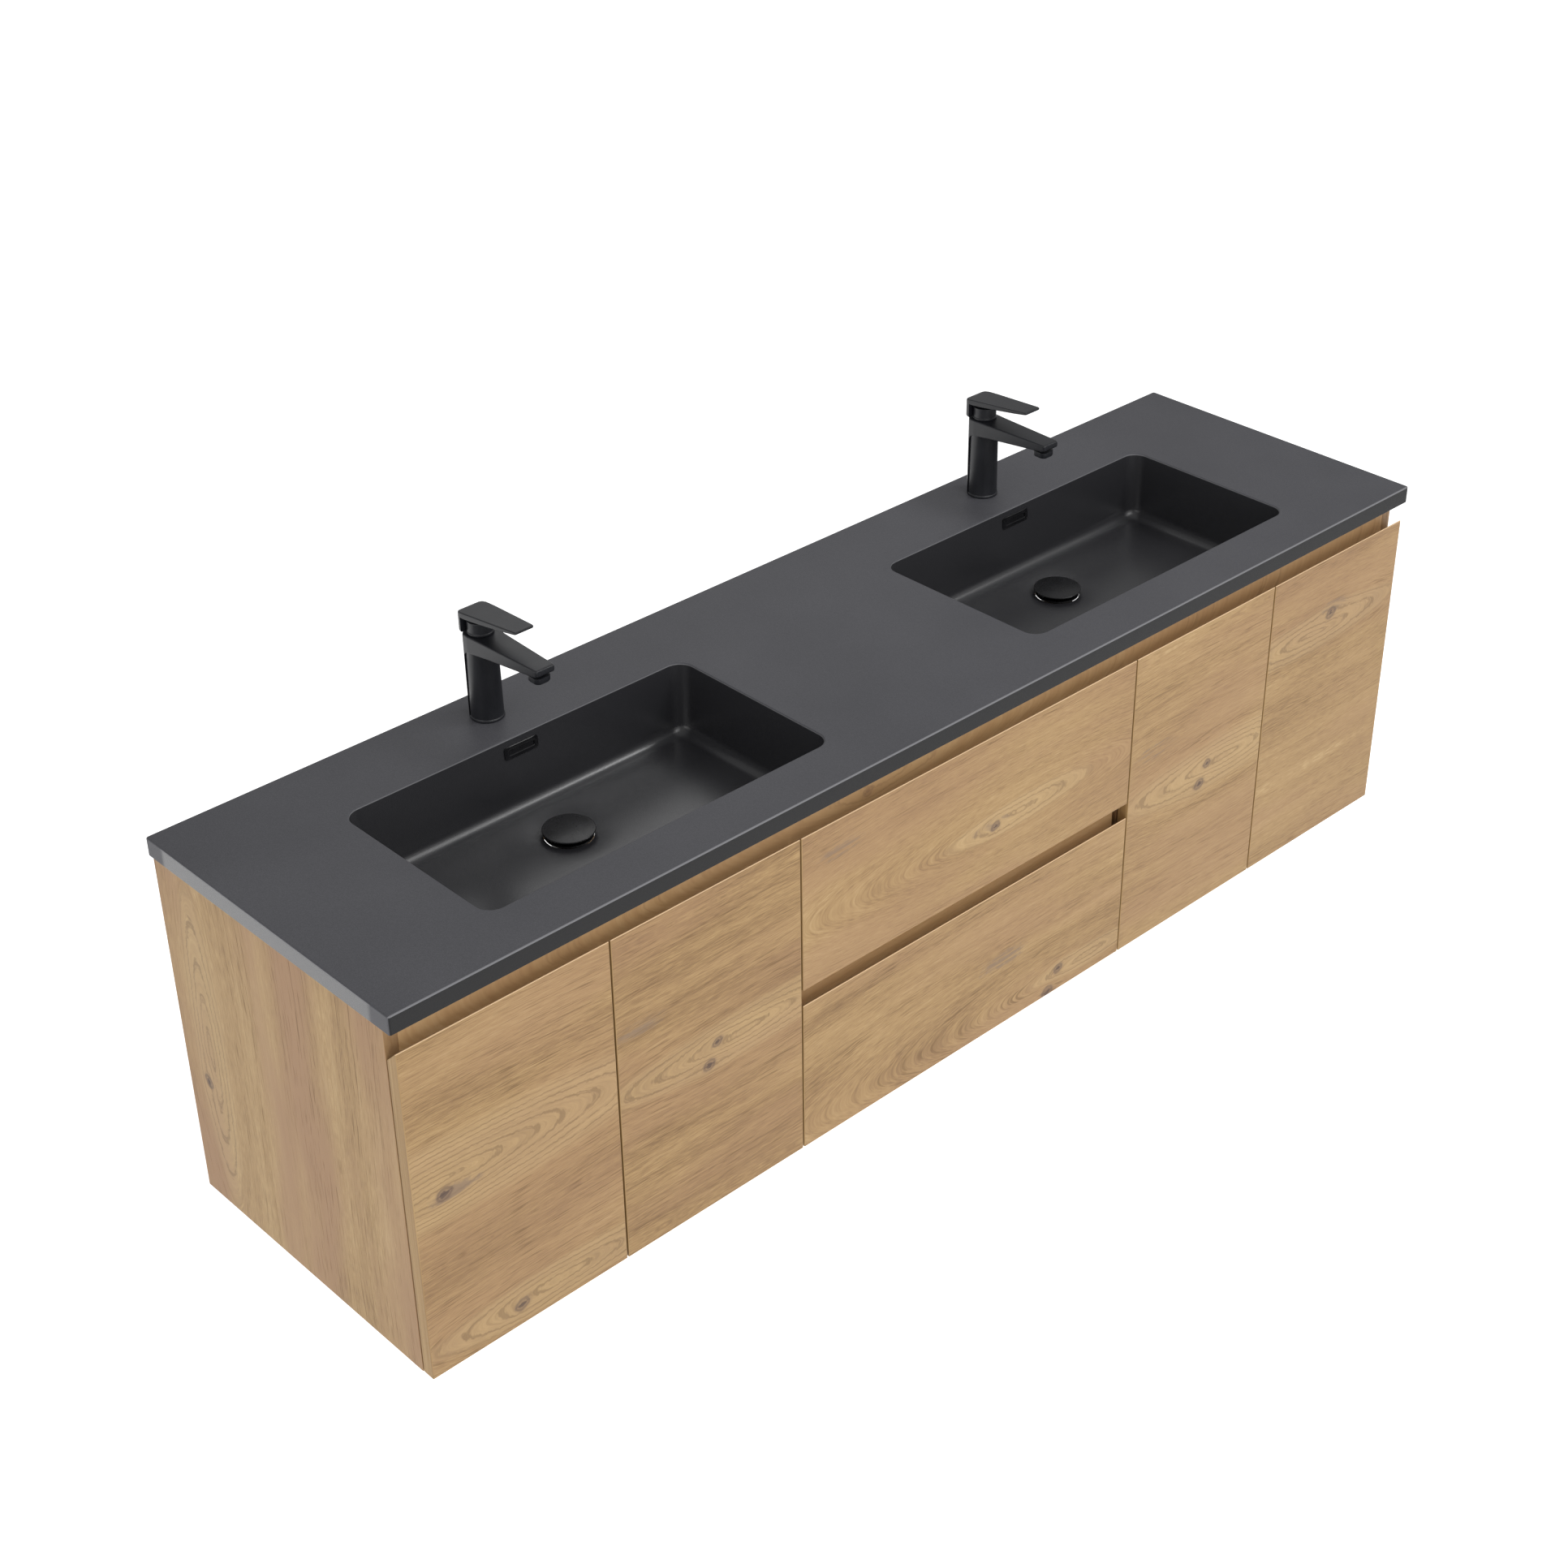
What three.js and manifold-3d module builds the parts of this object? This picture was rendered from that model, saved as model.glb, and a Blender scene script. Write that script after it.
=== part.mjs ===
// A wall-hung bathroom vanity: a wide countertop in two halves with a basin under each, a shallow
// oak carcass with two pairs of doors either side of two drawers, two single-lever taps and two
// push-to-close wastes.
//
// Millimetres. +X runs along the wall to the right, +Y into the wall, +Z up. The origin is the centre
// of the hanging rail's rear face, on the wall plane.

import * as THREE from "three";
import { mergeVertices } from "three/addons/utils/BufferGeometryUtils.js";
import Module from "manifold-3d";

const wasm = await Module();
wasm.setup();

// ---------------------------------------------------------------- driving dimensions

const WIDTH = 1800; // countertop, end to end
const DEPTH = 475; // wall plane to the countertop's front edge
const HEIGHT = 528; // countertop's top face to the carcass's lower edge
const TOP_THICKNESS = 25;
const TOP_EDGE = 2; // bevel round the countertop's upper edges
const TOP_OVERHANG = 5.5; // countertop past each side panel

const BOARD = 18; // every oak-faced board
const FRONT_SETBACK = 2.5; // faces of doors and drawers, behind the countertop's front edge
const FRONT_GAP = 2; // between a closed front and the carcass
const FINGER_GAP = 27.5; // under the countertop, above every front
const DRAWER_GAP = 22.5; // between the two drawer fronts
const FRONT_TOE = 1.5; // the fronts end this far above the carcass's lower edge
const REVEAL = 2.5; // gap between neighbouring fronts
const CENTRE_WIDTH = 611; // drawer fronts
const CLEAR_OPENING = 616; // between the partitions

const HANGING_RAIL = 120; // height of the rail that is screwed to the wall
const TOP_RAIL = 60;
const MID_RAIL = 64;
const MID_RAIL_FACE = 600; // length of its front layer, short of the partitions at both ends
const MID_RAIL_TONGUE = 6;
const MID_RAIL_DROP = 14; // its middle below the middle of the gap in front of it

const BASIN_X = 448; // basin centres, left and right of the middle
const BASIN_WIDTH = 526;
const BASIN_DEPTH = 278;
const BASIN_FRONT = 76; // front rim behind the countertop's front edge
const BASIN_CORNER = 22;
const BASIN_FLOOR = 100; // floor at the walls, below the top face
const BASIN_SUMP = 107; // floor at the waste
const BASIN_DRAFT = 6; // each wall leans in by this much over its height
const BASIN_FILLET = 16;
const BASIN_WALL = 8;

const WASTE_BACK = 208; // waste centre, in front of the wall plane
const WASTE_HOLE = 23;
const WASTE_FLANGE = 31;
const WASTE_CAP = 33.5;
const WASTE_CAP_TOP = 96; // cap's top, below the countertop's top face
const WASTE_LENGTH = 62;

const OVERFLOW = { width: 52, height: 18, slot: 7, lip: 1.8, centre: 19 };

const TAP_BACK = 58; // tap centre, in front of the wall plane
const TAP_HOLE = 17.5;
const TAP_SHANK = 16;
const TAP_COLUMN = { base: 22.5, top: 21, height: 118 };
const SPOUT = { reach: 126, root: 20, tip: 14.5, rootDepth: 27, tipDepth: 11 };
const AERATOR = { back: 112, radius: 11.5, height: 9 };
const CARTRIDGE = { radius: 17, top: 138 };
const LEVER = { reach: 90, back: 22, half: 20.5, tipHalf: 14.5, rise: 157, top: 147, under: 139.5 };
const LEVER_JOINT = 1.6; // open joint between the lever's skirt and the tap's body
const SOCKET_FRONT = 12; // the lever's socket runs forward, so that it clears the spindle as it lifts

const HINGE_INSET = 22.5; // cup centre, in from the door's edge
const HINGE_CUP = 17.5;
const HINGE_CUP_DEPTH = 11.5;
const HINGE_HEIGHTS = { upper: -175, lower: -440 }; // measured down from the top face

const DRAWER_LENGTH = 400;
const DRAWER_SIDE = 12;
const DRAWER_BOTTOM = 16;
const RUNNER = { width: 12.5, height: 46, wall: 2, rib: 38 };
const DRAWERS = {
  upper: { boxTop: -132, boxBottom: -268 },
  lower: { boxTop: -345, boxBottom: -500 },
};

const GAP = 0.3; // clearance where two pieces meet on a shaped surface

// ---------------------------------------------------------------- worked-out positions

const TOP_Z = TOP_THICKNESS + HANGING_RAIL / 2; // countertop's top face above the origin
const UNDER_TOP = TOP_Z - TOP_THICKNESS;
const BASE_Z = TOP_Z - HEIGHT;
const FRONT_Y = -DEPTH + FRONT_SETBACK; // faces of the fronts
const FRONT_BACK = FRONT_Y + BOARD;
const CARCASS_Y = FRONT_BACK + FRONT_GAP; // front edges of the carcass
const SIDE_X = WIDTH / 2 - TOP_OVERHANG; // outer faces of the side panels
const INNER_X = SIDE_X - BOARD;
const PARTITION_X = CLEAR_OPENING / 2;
const FRONT_TOP = UNDER_TOP - FINGER_GAP;
const FRONT_BASE = BASE_Z + FRONT_TOE;
const FRONT_HEIGHT = FRONT_TOP - FRONT_BASE;
const DRAWER_FRONT = (FRONT_HEIGHT - DRAWER_GAP) / 2;
const DOOR_WIDTH = (SIDE_X - CENTRE_WIDTH / 2 - 2 * REVEAL) / 2;
const BASIN_Y = -DEPTH + BASIN_FRONT + BASIN_DEPTH / 2;
const BASIN_STRAIGHT = BASIN_FLOOR - BASIN_FILLET; // height of the walls above the fillet

// ---------------------------------------------------------------- finishes

const finish = (color, roughness, metalness = 0) => ({ color, roughness, metalness });
const OAK = finish(0xb8966c, 0.55);
const COMPOSITE = finish(0x4a4a4b, 0.6);
const BLACK = finish(0x1b1c20, 0.4, 0.3);
const GLOSS_BLACK = finish(0x101114, 0.2);
const STEEL = finish(0xb9bcc0, 0.35, 0.9);
const GREY_METAL = finish(0x6d7074, 0.45, 0.5);
const WHITE_BOARD = finish(0xd9d8d4, 0.6);

// ---------------------------------------------------------------- geometry helpers

// A closed geometry as a solid that can be joined and cut.
function solid(geometry) {
  const bare = geometry.clone();
  bare.deleteAttribute("normal");
  bare.deleteAttribute("uv");
  const merged = mergeVertices(bare);
  return new wasm.Manifold(
    new wasm.Mesh({
      numProp: 3,
      vertProperties: merged.attributes.position.array,
      triVerts: new Uint32Array(merged.index.array),
    }),
  );
}

// The solid back as a geometry.
function shell(body) {
  const mesh = body.getMesh();
  const geometry = new THREE.BufferGeometry();
  geometry.setAttribute("position", new THREE.BufferAttribute(new Float32Array(mesh.vertProperties), 3));
  geometry.setIndex(new THREE.BufferAttribute(new Uint32Array(mesh.triVerts), 1));
  geometry.computeVertexNormals();
  return geometry;
}

const join = (...geometries) => shell(geometries.map(solid).reduce((whole, next) => whole.add(next)));

const cut = (geometry, ...tools) =>
  shell(tools.map(solid).reduce((rest, tool) => rest.subtract(tool), solid(geometry)));

// A block between two corners.
function block([x0, y0, z0], [x1, y1, z1]) {
  const geometry = new THREE.BoxGeometry(x1 - x0, y1 - y0, z1 - z0);
  return geometry.translate((x0 + x1) / 2, (y0 + y1) / 2, (z0 + z1) / 2);
}

// An upright cylinder from z0 to z1.
function post(radius, z0, z1, x = 0, y = 0, sides = 32) {
  const geometry = new THREE.CylinderGeometry(radius, radius, z1 - z0, sides);
  return geometry.rotateX(Math.PI / 2).translate(x, y, (z0 + z1) / 2);
}

// An outline of [y, z] corners, extruded along X from x0 to x1.
function prism(corners, x0, x1) {
  const shape = new THREE.Shape(corners.map(([y, z]) => new THREE.Vector2(y, z)));
  const geometry = new THREE.ExtrudeGeometry(shape, { depth: x1 - x0, bevelEnabled: false });
  // The shape's own axes are turned to Y and Z, and its depth to X.
  return geometry.applyMatrix4(new THREE.Matrix4().set(0, 0, 1, x0, 1, 0, 0, 0, 0, 1, 0, 0, 0, 0, 0, 1));
}

// A rectangle with round corners at height z, counter-clockwise seen from above.
function roundedRing(width, depth, radius, z, x = 0, y = 0, steps = 5) {
  const ring = [];
  for (let corner = 0; corner < 4; corner++) {
    const signX = corner === 0 || corner === 3 ? 1 : -1;
    const signY = corner < 2 ? 1 : -1;
    for (let step = 0; step <= steps; step++) {
      const angle = ((corner + step / steps) * Math.PI) / 2;
      ring.push(
        new THREE.Vector3(
          x + signX * (width / 2 - radius) + radius * Math.cos(angle),
          y + signY * (depth / 2 - radius) + radius * Math.sin(angle),
          z,
        ),
      );
    }
  }
  return ring;
}

// A closed body through rings of the same length, listed from the bottom up.
function loft(rings) {
  const count = rings[0].length;
  const points = rings.flat();
  const faces = [];
  for (let level = 0; level + 1 < rings.length; level++) {
    for (let i = 0; i < count; i++) {
      const j = (i + 1) % count;
      const low = level * count;
      const high = low + count;
      faces.push(low + i, low + j, high + j, low + i, high + j, high + i);
    }
  }
  const centre = (ring) => ring.reduce((sum, p) => sum.add(p), new THREE.Vector3()).divideScalar(count);
  const floor = points.push(centre(rings[0])) - 1;
  const roof = points.push(centre(rings[rings.length - 1])) - 1;
  const last = (rings.length - 1) * count;
  for (let i = 0; i < count; i++) {
    const j = (i + 1) % count;
    faces.push(floor, j, i, roof, last + i, last + j);
  }
  const geometry = new THREE.BufferGeometry().setFromPoints(points);
  geometry.setIndex(faces);
  geometry.computeVertexNormals();
  return geometry;
}

// ---------------------------------------------------------------- the scene graph

const vanity = new THREE.Group();

function place(name, look, geometry, parent = vanity) {
  const mesh = new THREE.Mesh(geometry, new THREE.MeshStandardMaterial(look));
  mesh.name = name;
  parent.add(mesh);
}

const SIDES = [
  ["left", -1],
  ["right", 1],
];

// ---------------------------------------------------------------- countertop and basins

// The basin's hollow, or with a wall thickness its outside: a shallow sump, a fillet and drafted walls.
function basin(centreX, wall) {
  const grow = 2 * wall;
  const corner = BASIN_CORNER + wall;
  const rings = [];
  const sump = 2 * (WASTE_FLANGE + 3 + wall);
  rings.push(
    roundedRing(sump, sump, 0.49 * sump, TOP_Z - BASIN_SUMP - wall, centreX, -WASTE_BACK),
  );
  const fillet = BASIN_FILLET + wall;
  for (const turn of [0, 30, 60, 90]) {
    const angle = (turn * Math.PI) / 180;
    const inset = BASIN_DRAFT + fillet * (1 - Math.sin(angle));
    const z = TOP_Z - BASIN_STRAIGHT - fillet * Math.cos(angle);
    rings.push(
      roundedRing(
        BASIN_WIDTH + grow - 2 * inset,
        BASIN_DEPTH + grow - 2 * inset,
        corner - inset / 2,
        z,
        centreX,
        BASIN_Y,
      ),
    );
  }
  const heights = wall ? [UNDER_TOP] : [TOP_Z, TOP_Z + 1];
  for (const z of heights) {
    rings.push(roundedRing(BASIN_WIDTH + grow, BASIN_DEPTH + grow, corner, z, centreX, BASIN_Y));
  }
  return loft(rings);
}

// The slot in the basin's back wall, square to the wall's lean.
function overflowBlock(width, height, fromY, toY) {
  const lean = Math.atan(BASIN_DRAFT / BASIN_STRAIGHT);
  return block([-width / 2, fromY, -height / 2], [width / 2, toY, height / 2]).rotateX(-lean);
}

const overflowY = BASIN_Y + BASIN_DEPTH / 2 - (BASIN_DRAFT * OVERFLOW.centre) / BASIN_STRAIGHT;
const overflowZ = TOP_Z - OVERFLOW.centre;
const PLUG = { width: OVERFLOW.width - 6, height: OVERFLOW.height - 5 };

// What one side's basin, tap and overflow take out of the slab and the basin below it.
function openings(centreX) {
  return [
    basin(centreX, 0),
    post(WASTE_HOLE, TOP_Z - BASIN_SUMP - 40, TOP_Z - BASIN_SUMP + 5, centreX, -WASTE_BACK),
    post(TAP_HOLE, UNDER_TOP - 5, TOP_Z + 5, centreX, -TAP_BACK),
    overflowBlock(PLUG.width + 2 * GAP, PLUG.height + 2 * GAP, -15, 30).translate(
      centreX,
      overflowY,
      overflowZ,
    ),
  ];
}

// One half of the slab, from the middle to its end.
function slabHalf(sign) {
  const [x0, x1] = sign < 0 ? [-WIDTH / 2, 0] : [0, WIDTH / 2];
  const corners = [
    [x0, -DEPTH],
    [x1, -DEPTH],
    [x1, 0],
    [x0, 0],
  ];
  const ring = (inset, z) =>
    corners.map(([x, y]) => new THREE.Vector3(x - Math.sign(x) * inset, y === 0 ? y : y + inset, z));
  return loft([ring(0, UNDER_TOP), ring(0, TOP_Z - TOP_EDGE), ring(TOP_EDGE, TOP_Z)]);
}

for (const [side, sign] of SIDES) {
  place(`vanity_top_${side}`, COMPOSITE, cut(slabHalf(sign), ...openings(sign * BASIN_X)));
}

// Each basin hangs from the slab's underside, with its walls in line with the slab's opening.
for (const [side, sign] of SIDES) {
  place(`basin_${side}`, COMPOSITE, cut(basin(sign * BASIN_X, BASIN_WALL), ...openings(sign * BASIN_X)));
}

// ---------------------------------------------------------------- carcass

for (const [side, sign] of SIDES) {
  const panel = block([0, CARCASS_Y, BASE_Z], [BOARD, 0, UNDER_TOP]);
  place(`side_panel_${side}`, OAK, panel.translate(sign > 0 ? INNER_X : -SIDE_X, 0, 0));

  // A partition is notched round the basin, which reaches over it.
  const notchFront = BASIN_Y - BASIN_DEPTH / 2 - BASIN_WALL - 2;
  const notchBack = BASIN_Y + BASIN_DEPTH / 2 + BASIN_WALL + 2;
  const notchBase = TOP_Z - BASIN_SUMP - BASIN_WALL - 3;
  const partition = prism(
    [
      [CARCASS_Y, BASE_Z + BOARD],
      [-BOARD, BASE_Z + BOARD],
      [-BOARD, UNDER_TOP],
      [notchBack, UNDER_TOP],
      [notchBack, notchBase],
      [notchFront, notchBase],
      [notchFront, UNDER_TOP - TOP_RAIL],
      [CARCASS_Y, UNDER_TOP - TOP_RAIL],
    ],
    0,
    BOARD,
  );
  place(`partition_${side}`, OAK, partition.translate(sign > 0 ? PARTITION_X : -PARTITION_X - BOARD, 0, 0));
}

place("bottom_panel", OAK, block([-INNER_X, CARCASS_Y, BASE_Z], [INNER_X, 0, BASE_Z + BOARD]));
place(
  "top_rail",
  OAK,
  block([-INNER_X, CARCASS_Y, UNDER_TOP - TOP_RAIL], [INNER_X, CARCASS_Y + BOARD, UNDER_TOP]),
);
place("hanging_rail", OAK, block([-INNER_X, -BOARD, UNDER_TOP - HANGING_RAIL], [INNER_X, 0, UNDER_TOP]));

// The rail between the drawers: its tongue meets the partitions and its face stops short of them.
const midRailZ = FRONT_TOP - DRAWER_FRONT - DRAWER_GAP / 2 - MID_RAIL_DROP;
const midRail = join(
  block(
    [-MID_RAIL_FACE / 2, CARCASS_Y, midRailZ - MID_RAIL / 2],
    [MID_RAIL_FACE / 2, CARCASS_Y + BOARD - MID_RAIL_TONGUE, midRailZ + MID_RAIL / 2],
  ),
  block(
    [-PARTITION_X, CARCASS_Y + BOARD - MID_RAIL_TONGUE, midRailZ - MID_RAIL / 2],
    [PARTITION_X, CARCASS_Y + BOARD, midRailZ + MID_RAIL / 2],
  ),
);
place("mid_rail", OAK, midRail);

// ---------------------------------------------------------------- wastes and overflow covers

// A waste body is a flanged tube with a bridge that guides the cap's stem.
function wasteBody() {
  const bore = WASTE_HOLE - 4;
  const profile = [
    [bore, 0],
    [WASTE_FLANGE, 0],
    [WASTE_FLANGE, -2],
    [WASTE_HOLE - 0.5, -2],
    [WASTE_HOLE - 0.5, -40],
    [WASTE_HOLE - 5 + 0.5, -42],
    [WASTE_HOLE - 5 + 0.5, -WASTE_LENGTH],
    [WASTE_HOLE - 7, -WASTE_LENGTH],
    [WASTE_HOLE - 7, -38],
    [bore, -36],
    [bore, 0],
  ].map(([r, z]) => new THREE.Vector2(r, z));
  const tube = new THREE.LatheGeometry(profile.reverse(), 32).rotateX(Math.PI / 2);
  const bridge = block([-bore - 1, -4, -26], [bore + 1, 4, -14]);
  const hub = post(8, -26, -14, 0, 0, 24);
  return cut(join(tube, bridge, hub), post(4.5, -40, 5, 0, 0, 24));
}

// A waste cap is a slightly domed disc on a stem.
function wasteCap() {
  const dome = 1.5;
  const profile = [new THREE.Vector2(0, -34), new THREE.Vector2(4, -34), new THREE.Vector2(4, -3.5)];
  profile.push(new THREE.Vector2(WASTE_CAP - 1, -3.5), new THREE.Vector2(WASTE_CAP, -2.5));
  for (const part of [1, 0.8, 0.55, 0.25]) {
    profile.push(new THREE.Vector2(part * WASTE_CAP, -dome * part * part));
  }
  profile.push(new THREE.Vector2(0, 0));
  return new THREE.LatheGeometry(profile, 40).rotateX(Math.PI / 2);
}

function overflowCover() {
  const frame = overflowBlock(OVERFLOW.width, OVERFLOW.height, -OVERFLOW.lip, -GAP);
  const plug = overflowBlock(PLUG.width, PLUG.height, -OVERFLOW.lip, BASIN_WALL);
  return cut(
    join(frame, plug),
    overflowBlock(PLUG.width - 6, OVERFLOW.slot, -10, BASIN_WALL + 10),
  );
}

for (const [side, sign] of SIDES) {
  const drain = new THREE.Group();
  drain.position.set(sign * BASIN_X, -WASTE_BACK, 0);
  vanity.add(drain);
  const flangeTop = TOP_Z - BASIN_SUMP + 2 + GAP;
  place(`waste_body_${side}`, GLOSS_BLACK, wasteBody().translate(0, 0, flangeTop), drain);
  place(`waste_cap_${side}`, GLOSS_BLACK, wasteCap().translate(0, 0, TOP_Z - WASTE_CAP_TOP), drain);
  place(
    `overflow_cover_${side}`,
    GLOSS_BLACK,
    overflowCover().translate(sign * BASIN_X, overflowY, overflowZ),
  );
}

// ---------------------------------------------------------------- taps

// A tap's body: a tapered column with a flat tapered spout, and a threaded shank under the countertop.
function tapBody() {
  const { base, top, height } = TAP_COLUMN;
  const column = loft([
    roundedRing(2 * base, 2 * base, 0.8 * base, 0),
    roundedRing(2 * base, 2 * base, 0.8 * base, 4),
    roundedRing(2 * top, 2 * top, 0.8 * top, height),
  ]);
  const section = (half, back, depth) => [
    new THREE.Vector3(-half, -back, height - depth),
    new THREE.Vector3(half, -back, height - depth),
    new THREE.Vector3(half, -back, height - 1.5),
    new THREE.Vector3(half - 1.5, -back, height),
    new THREE.Vector3(-half + 1.5, -back, height),
    new THREE.Vector3(-half, -back, height - 1.5),
  ];
  // Listed from the tip back to the root, so that the rings wind the right way round.
  const spout = loft([
    section(SPOUT.root, 0, SPOUT.rootDepth),
    section(SPOUT.root, 18, SPOUT.rootDepth),
    section(SPOUT.root - 1, 34, SPOUT.rootDepth * 0.78),
    section(SPOUT.tip, SPOUT.reach, SPOUT.tipDepth),
  ]);
  const shank = join(post(TAP_SHANK, -55, 1, 0, 0, 24), post(24, -38, -TOP_THICKNESS - GAP, 0, 0, 6));
  return join(column, spout, shank);
}

// The aerator is a short nozzle under the spout's tip.
function aerator() {
  const top = TAP_COLUMN.height - SPOUT.tipDepth - 2.5;
  const { radius, height, back } = AERATOR;
  return loft([
    roundedRing(2 * radius - 3, 2 * radius - 3, 7, top - height, 0, -back),
    roundedRing(2 * radius, 2 * radius, 8, top - height + 2, 0, -back),
    roundedRing(2 * radius, 2 * radius, 8, top - GAP, 0, -back),
  ]);
}

// The cartridge turns in the body: a round neck with a square spindle on top.
function cartridge() {
  const { height } = TAP_COLUMN;
  return join(
    post(CARTRIDGE.radius, height + GAP, CARTRIDGE.top, 0, 0, 32),
    block([-4, -4, CARTRIDGE.top - 1], [4, 4, CARTRIDGE.top + 4]),
  );
}

// The lever: a flat plate that rises to its tip, with a skirt that wraps the back of the neck and is
// open to the front, so that the neck stays clear as the lever lifts.
function lever() {
  const { reach, back, half, tipHalf, rise, top, under } = LEVER;
  const plate = loft([
    [
      new THREE.Vector3(-half, 0, under),
      new THREE.Vector3(-tipHalf, -reach, rise - 5),
      new THREE.Vector3(tipHalf, -reach, rise - 5),
      new THREE.Vector3(half, 0, under),
      new THREE.Vector3(half, back - 6, under),
      new THREE.Vector3(half - 6, back, under),
      new THREE.Vector3(-half + 6, back, under),
      new THREE.Vector3(-half, back - 6, under),
    ],
    [
      new THREE.Vector3(-half, 0, top + 1.5),
      new THREE.Vector3(-tipHalf, -reach, rise),
      new THREE.Vector3(tipHalf, -reach, rise),
      new THREE.Vector3(half, 0, top + 1.5),
      new THREE.Vector3(half, back - 6, top),
      new THREE.Vector3(half - 6, back, top),
      new THREE.Vector3(-half + 6, back, top),
      new THREE.Vector3(-half, back - 6, top),
    ],
  ]);
  const skirtBase = TAP_COLUMN.height + LEVER_JOINT;
  const neckRoom = CARTRIDGE.radius + 0.8;
  const skirt = loft([
    roundedRing(2 * half, 2 * half, 16, skirtBase, 0, back - half),
    roundedRing(2 * half, 2 * half, 16, under + 1, 0, back - half),
  ]);
  const front = prism(
    [
      [14, skirtBase - 5],
      [-14, under],
      [-40, under],
      [-40, skirtBase - 5],
    ],
    -40,
    40,
  );
  return cut(
    join(plate, cut(skirt, front)),
    post(neckRoom, skirtBase - 5, under, 0, 0, 32),
    block([-neckRoom, -2 * half, skirtBase - 5], [neckRoom, 0, under]),
    block([-4.4, -SOCKET_FRONT, under - 2], [4.4, 4.4, under + 3.5]),
  );
}

for (const [side, sign] of SIDES) {
  const tap = new THREE.Group();
  tap.position.set(sign * BASIN_X, -TAP_BACK, TOP_Z + GAP);
  vanity.add(tap);
  place(`tap_body_${side}`, BLACK, tapBody(), tap);
  place(`tap_aerator_${side}`, BLACK, aerator(), tap);
  place(`tap_cartridge_${side}`, BLACK, cartridge(), tap);
  place(`tap_lever_${side}`, BLACK, lever(), tap);
}

// ---------------------------------------------------------------- fronts

// A front's section: square below, and a finger bevel at 45 degrees that falls to the back on top.
const frontSection = (base, height) => [
  [FRONT_Y, base],
  [FRONT_BACK, base],
  [FRONT_BACK, base + height - BOARD],
  [FRONT_Y, base + height],
];

// Doors from left to right: their left edge, the side they hinge on, and the hinge's outer edge.
const DOORS = [
  ["left_outer", -SIDE_X, -1],
  ["left_inner", -SIDE_X + DOOR_WIDTH + REVEAL, 1],
  ["right_inner", SIDE_X - 2 * DOOR_WIDTH - REVEAL, -1],
  ["right_outer", SIDE_X - DOOR_WIDTH, 1],
];

for (const [name, left, hand] of DOORS) {
  const edge = hand < 0 ? left : left + DOOR_WIDTH; // the hinged edge
  const cupX = edge - hand * HINGE_INSET;
  const wallX = edge - hand * BOARD; // inner face of the panel that the hinge is screwed to
  const recesses = [];
  for (const [level, height] of Object.entries(HINGE_HEIGHTS)) {
    const z = TOP_Z + height;
    const bore = new THREE.CylinderGeometry(HINGE_CUP + GAP, HINGE_CUP + GAP, 2 * HINGE_CUP_DEPTH, 28);
    recesses.push(bore.translate(cupX, FRONT_BACK, z));

    // The cup sits in the door's rear face under a thin flange.
    const cup = new THREE.CylinderGeometry(HINGE_CUP, HINGE_CUP, HINGE_CUP_DEPTH, 28);
    cup.translate(cupX, FRONT_BACK - HINGE_CUP_DEPTH / 2 + GAP, z);
    const flange = block([cupX - 12, FRONT_BACK + GAP / 2, z - 26], [cupX + 12, FRONT_BACK + 1.2, z + 26]);
    const well = block([cupX - 10, FRONT_BACK - 9, z - 9], [cupX + 10, FRONT_BACK + 5, z + 9]);
    place(`hinge_cup_${name}_${level}`, STEEL, cut(join(cup, flange), well));

    // The arm stands on its plate on the carcass and ends just behind the cup.
    const inward = (from, to, y0, y1, half) => {
      const xs = [wallX - hand * from, wallX - hand * to].sort((a, b) => a - b);
      return block([xs[0], y0, z - half], [xs[1], y1, z + half]);
    };
    const arm = join(
      inward(0, 3, CARCASS_Y + 14, CARCASS_Y + 62, 24),
      inward(2, 9, CARCASS_Y + 20, CARCASS_Y + 56, 9),
      inward(3, 15, CARCASS_Y + 1, CARCASS_Y + 50, 6.5),
    );
    place(`hinge_arm_${name}_${level}`, STEEL, arm);
  }
  const board = prism(frontSection(FRONT_BASE, FRONT_HEIGHT), left, left + DOOR_WIDTH);
  place(`door_${name}`, OAK, cut(board, ...recesses));
}

// ---------------------------------------------------------------- drawers and runners

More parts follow.
